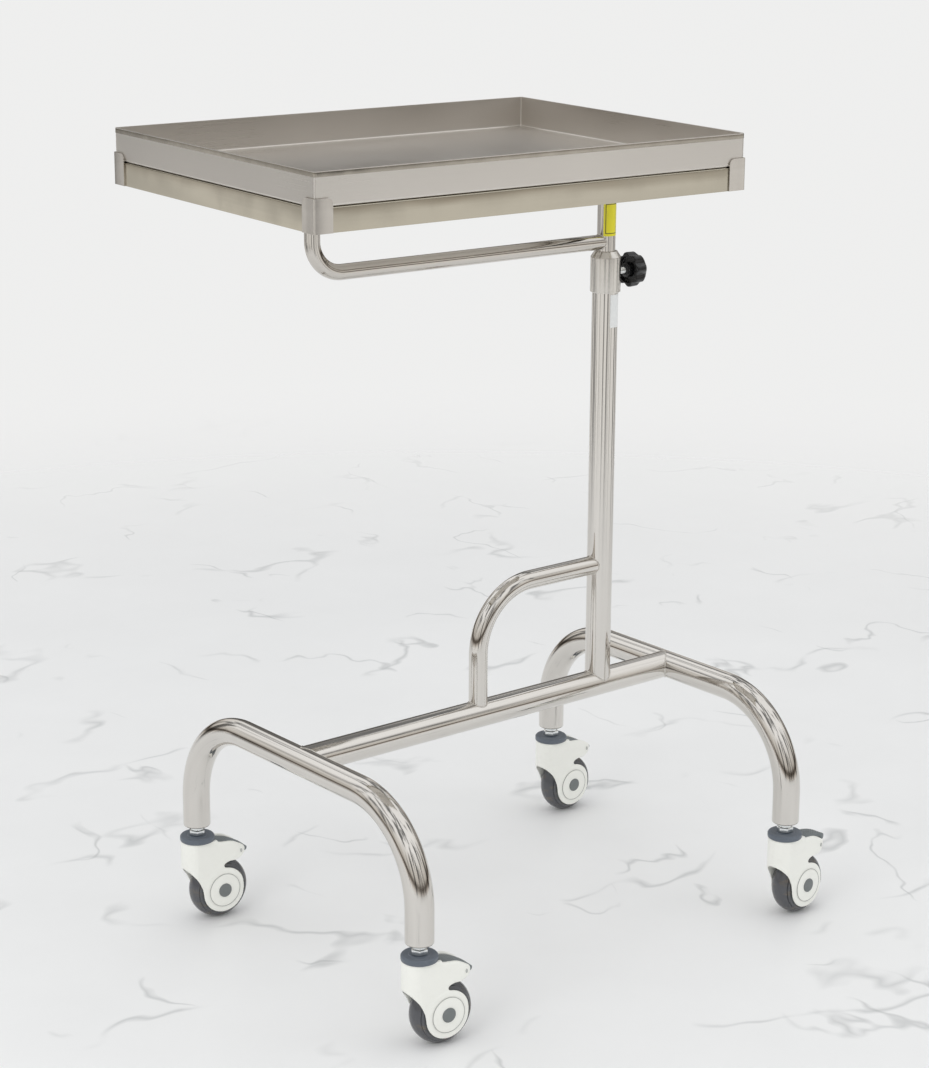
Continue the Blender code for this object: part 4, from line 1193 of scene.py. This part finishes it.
mark = surface(hood_mark(), wrap_columns=True)
tread = about_axle(tread_profile(), wrap=True, sides=160)
core = about_axle(core_profile(), wrap=True)
plug = surface(spin(plug_profile(), sides=72), wrap_columns=True)
cover = surface(spin(cover_profile()), wrap_rows=True, wrap_columns=True)
stem_rod = surface(spin(stem_profile(), sides=48), wrap_columns=True)
stem = [stem_rod, surface(hexagon_grid(), wrap_columns=True)]

# %% Place the four casters
LIFTED = 0.002
pressed_low = min(bottom(f"{name}_pedal") for name in CASTERS)
for name, (origin, turn) in caster_places.items():
    lift = PEDAL_TRAVEL if bottom(f"{name}_pedal") > pressed_low + LIFTED else 0.0
    pedal_parts = [raised_by(part, lift) for part in pedal] + [pedal_pin]
    caster, wheel, brake = f"{name}_caster", f"{name}_wheel", f"{name}_brake"
    for piece, parts, finish, body, node, slot in (
        ("leg_plug", [plug], "polished_steel", "base", "leg_insert", "polished_steel"),
        ("hex_stem", stem, "zinc_steel", "base", "stem", "zinc_steel"),
        ("bearing_cover", [cover], "blue_grey_plastic", caster, "swivel_ring", "blue_grey_plastic"),
        ("fork_housing", [housing], "ivory_plastic", caster, "housing", "ivory_plastic"),
        ("cheek_discs", discs, "ivory_plastic", caster, None, "ivory_plastic"),
        ("hub_caps", caps, "grey_plastic", caster, "axle", "grey_plastic"),
        # The rings round the discs in this piece are painted shadow lines; the drop is a grey mark.
        ("marks_and_shadow_rings", [mark, *shadow_rings], "mark_and_shadow_ring_plastic", caster, None, "grey_plastic"),
        ("core_moulding", [core], "grey_plastic", wheel, "wheel_core", "grey_plastic"),
        ("crowned_tread", [tread], "tread_rubber", wheel, "tread", "tread_rubber"),
        ("brake_pedal", pedal_parts, "pedal_plastic", brake, "pedal", "blue_grey_plastic"),
    ):
        nodes = [f"{name}_{node}"] if node else []
        sharp = MOULDED_SHARP_DEGREES if piece in ("fork_housing", "brake_pedal") else SHARP_DEGREES
        make_piece(f"{name}_{piece}", parts, finish, body, nodes, origin, turn, sharp)

# %% [markdown]
# ## Pieces that stay as they are
# The nylon bush and the mast's foot are inside the post, where nothing can be seen of them. Their
# CAD shape is right as it is, so they only get a finish.

# %% Nylon inside the post
for node in ("guide_bush", "mast_foot"):
    inner_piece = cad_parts[node]
    inner_piece.data.materials.clear()
    inner_piece.data.materials.append(finishes["white_nylon"])

# %% [markdown]
# ## Floor, light and camera
# Polished steel looks like what stands round it. So the studio matters as much as the metal: a
# pale floor near the cart, a bright soft ceiling, and walls with lighter and darker parts, which
# draw the long streaks on the tubes. The walls are a pattern on the world. The floor fades out
# into the pale background, and three large soft lights give the shadows their direction.

# %% Floor
BACKGROUND = (0.86, 0.86, 0.855)
FLOOR_REACH = 30.0
FADE_START, FADE_END = 1.2, 3.2
VEIN_COLOUR = (0.42, 0.43, 0.43)
floor_mesh = bpy.data.meshes.new("studio_floor")
corners = [(x * FLOOR_REACH, y * FLOOR_REACH, 0) for x, y in ((-1, -1), (1, -1), (1, 1), (-1, 1))]
floor_mesh.from_pydata(corners, [], [(0, 1, 2, 3)])
floor = bpy.data.objects.new("studio_floor", floor_mesh)
bpy.context.scene.collection.objects.link(floor)
ground = Finish("pale_floor", (0.895, 0.895, 0.89), 0.40, specular=0.25)
ground.tint(ground.noise((4, 4, 4), detail=6, roughness=0.6), (0.86, 0.86, 0.855), 0.7)


def vein(scale, width, low, high):
    """Thin lines where a noise passes its middle, 1 - |noise - 0.5| / width, kept only in patches."""
    mapped = ground.noise(scale, detail=4, roughness=0.45, low=0.0, high=1.0)
    away = ground.add("Math", {1: 0.5}, {0: mapped}, operation="SUBTRACT")
    away = ground.add("Math", {}, {0: away.outputs["Value"]}, operation="ABSOLUTE")
    values = {"From Max": width, "To Min": 1.0, "To Max": 0.0}
    line = ground.add("MapRange", values, {"Value": away.outputs["Value"]})
    patch = ground.noise((5, 5, 5), detail=2, low=low, high=high)
    kept = ground.add("Math", {}, {0: line.outputs["Result"], 1: patch}, operation="MULTIPLY")
    ground.tint(kept.outputs["Value"], VEIN_COLOUR, 0.5)


vein((1.6, 2.6, 1), 0.010, 0.50, 0.62)
vein((3.1, 2.0, 1), 0.006, 0.52, 0.60)
floor_mesh.materials.append(finishes["pale_floor"])
distance = ground.add("VectorMath", {}, {0: ground.place.outputs["Object"]}, operation="LENGTH")
values = {"From Min": FADE_START, "From Max": FADE_END, "To Min": 1.0, "To Max": 0.0}
links = {"Value": distance.outputs["Value"]}
fade = ground.add("MapRange", values, links, interpolation_type="SMOOTHSTEP")
ground.tree.links.new(fade.outputs["Result"], ground.shader.inputs["Alpha"])

# %% World
EVEN_LIGHT = (0.84, 0.85, 0.86)
world = bpy.data.worlds.new("studio")
bpy.context.scene.world = world
world.use_nodes = True
tree = world.node_tree
tree.nodes.clear()
direction = add_node(tree, "TexCoord").outputs["Generated"]
height = add_node(tree, "SeparateXYZ", {}, {"Vector": direction})
walls = add_node(tree, "MapRange", {"From Min": -1}, {"Value": height.outputs["Z"]})
levels = add_node(tree, "ValToRGB", {}, {"Fac": walls.outputs["Result"]})
stops = levels.color_ramp
stops.elements[0].position, stops.elements[0].color = 0.0, (0.85, 0.84, 0.82, 1)
stops.elements[1].position, stops.elements[1].color = 1.0, (0.92, 0.92, 0.92, 1)
for position, colour in (
    (0.44, (0.85, 0.84, 0.82, 1)),
    (0.475, (0.50, 0.46, 0.42, 1)),
    (0.50, (0.10, 0.085, 0.07, 1)),
    (0.525, (0.12, 0.10, 0.085, 1)),
    (0.56, (0.55, 0.52, 0.48, 1)),
    (0.66, (0.74, 0.72, 0.69, 1)),
    (0.80, (0.95, 0.95, 0.95, 1)),
):
    stops.elements.new(position).color = colour
stretch = add_node(tree, "Mapping", {"Scale": (3.4, 3.4, 0.30)}, {"Vector": direction})
panels = add_node(tree, "TexNoise", {"Scale": 1.4, "Detail": 3}, {"Vector": stretch.outputs["Vector"]})
values = {"From Min": 0.40, "From Max": 0.54, "To Min": 0.22, "To Max": 1.12}
links = {"Value": panels.outputs["Fac"]}
contrast = add_node(tree, "MapRange", values, links, interpolation_type="SMOOTHSTEP")
links = {"A": levels.outputs["Color"], "B": contrast.outputs["Result"]}
studio = add_node(tree, "Mix", {"Factor": 1}, links, data_type="RGBA", blend_type="MULTIPLY")
rays = add_node(tree, "LightPath")


def shine(colour, links=None):
    """A background of one colour, or of the pattern that is linked over it."""
    return add_node(tree, "Background", {"Color": (*colour, 1)}, links).outputs["Background"]


def choose(ray, otherwise, chosen):
    """A mix of two backgrounds that takes the second one for rays of one kind."""
    links = {"Fac": rays.outputs[ray], 1: otherwise, 2: chosen}
    return add_node(tree, "MixShader", {}, links).outputs["Shader"]


reflected = shine((1, 1, 1), {"Color": studio.outputs["Result"]})
unseen = choose("Is Glossy Ray", shine(EVEN_LIGHT), reflected)
add_node(tree, "OutputWorld", {}, {"Surface": choose("Is Camera Ray", unseen, shine(BACKGROUND))})


# %% Soft lights
def soft_light(name, place, aim, width, watts):
    lamp = bpy.data.lights.new(name, "AREA")
    lamp.size = width
    lamp.energy = watts
    holder = bpy.data.objects.new(name, lamp)
    holder.location = place
    bpy.context.scene.collection.objects.link(holder)
    holder.rotation_euler = (Vector(aim) - Vector(place)).to_track_quat("-Z", "Y").to_euler()
    holder.visible_glossy = False


soft_light("ceiling_light", (0.2, -0.2, 3.2), (0, 0, 0), 3.0, 11)
soft_light("window_light", (-3.0, -1.0, 2.0), (0, 0, 0.6), 1.6, 20)
soft_light("fill_light", (2.2, -2.6, 1.6), (0, 0, 0.6), 1.2, 6)

# %% Camera
CAMERA_PLACE = (-2.0433, -2.4692, 1.4285)
CAMERA_AZIMUTH, CAMERA_ELEVATION, CAMERA_ROLL = (math.radians(v) for v in (-39.22, 15.79, 0.36))
LENS = 89.77


def camera_matrix():
    """Columns right, up and back of the camera, from its azimuth, elevation and roll."""
    flat = math.cos(CAMERA_ELEVATION)
    across, deep = math.sin(CAMERA_AZIMUTH) * flat, -math.cos(CAMERA_AZIMUTH) * flat
    back = np.array([across, deep, math.sin(CAMERA_ELEVATION)])
    right = unit(np.cross(-back, [0, 0, 1]))
    up = np.cross(right, -back)
    c, s = math.cos(CAMERA_ROLL), math.sin(CAMERA_ROLL)
    matrix = np.eye(4)
    matrix[:3, 0], matrix[:3, 1], matrix[:3, 2] = c * right + s * up, c * up - s * right, back
    matrix[:3, 3] = CAMERA_PLACE
    return matrix


camera_data = bpy.data.cameras.new("camera")
camera_data.lens = LENS
camera_data.sensor_width = 36
camera = bpy.data.objects.new("camera", camera_data)
bpy.context.scene.collection.objects.link(camera)
camera.matrix_world = Matrix(camera_matrix().tolist())
bpy.context.scene.camera = camera
bpy.context.scene.view_settings.view_transform = "Standard"
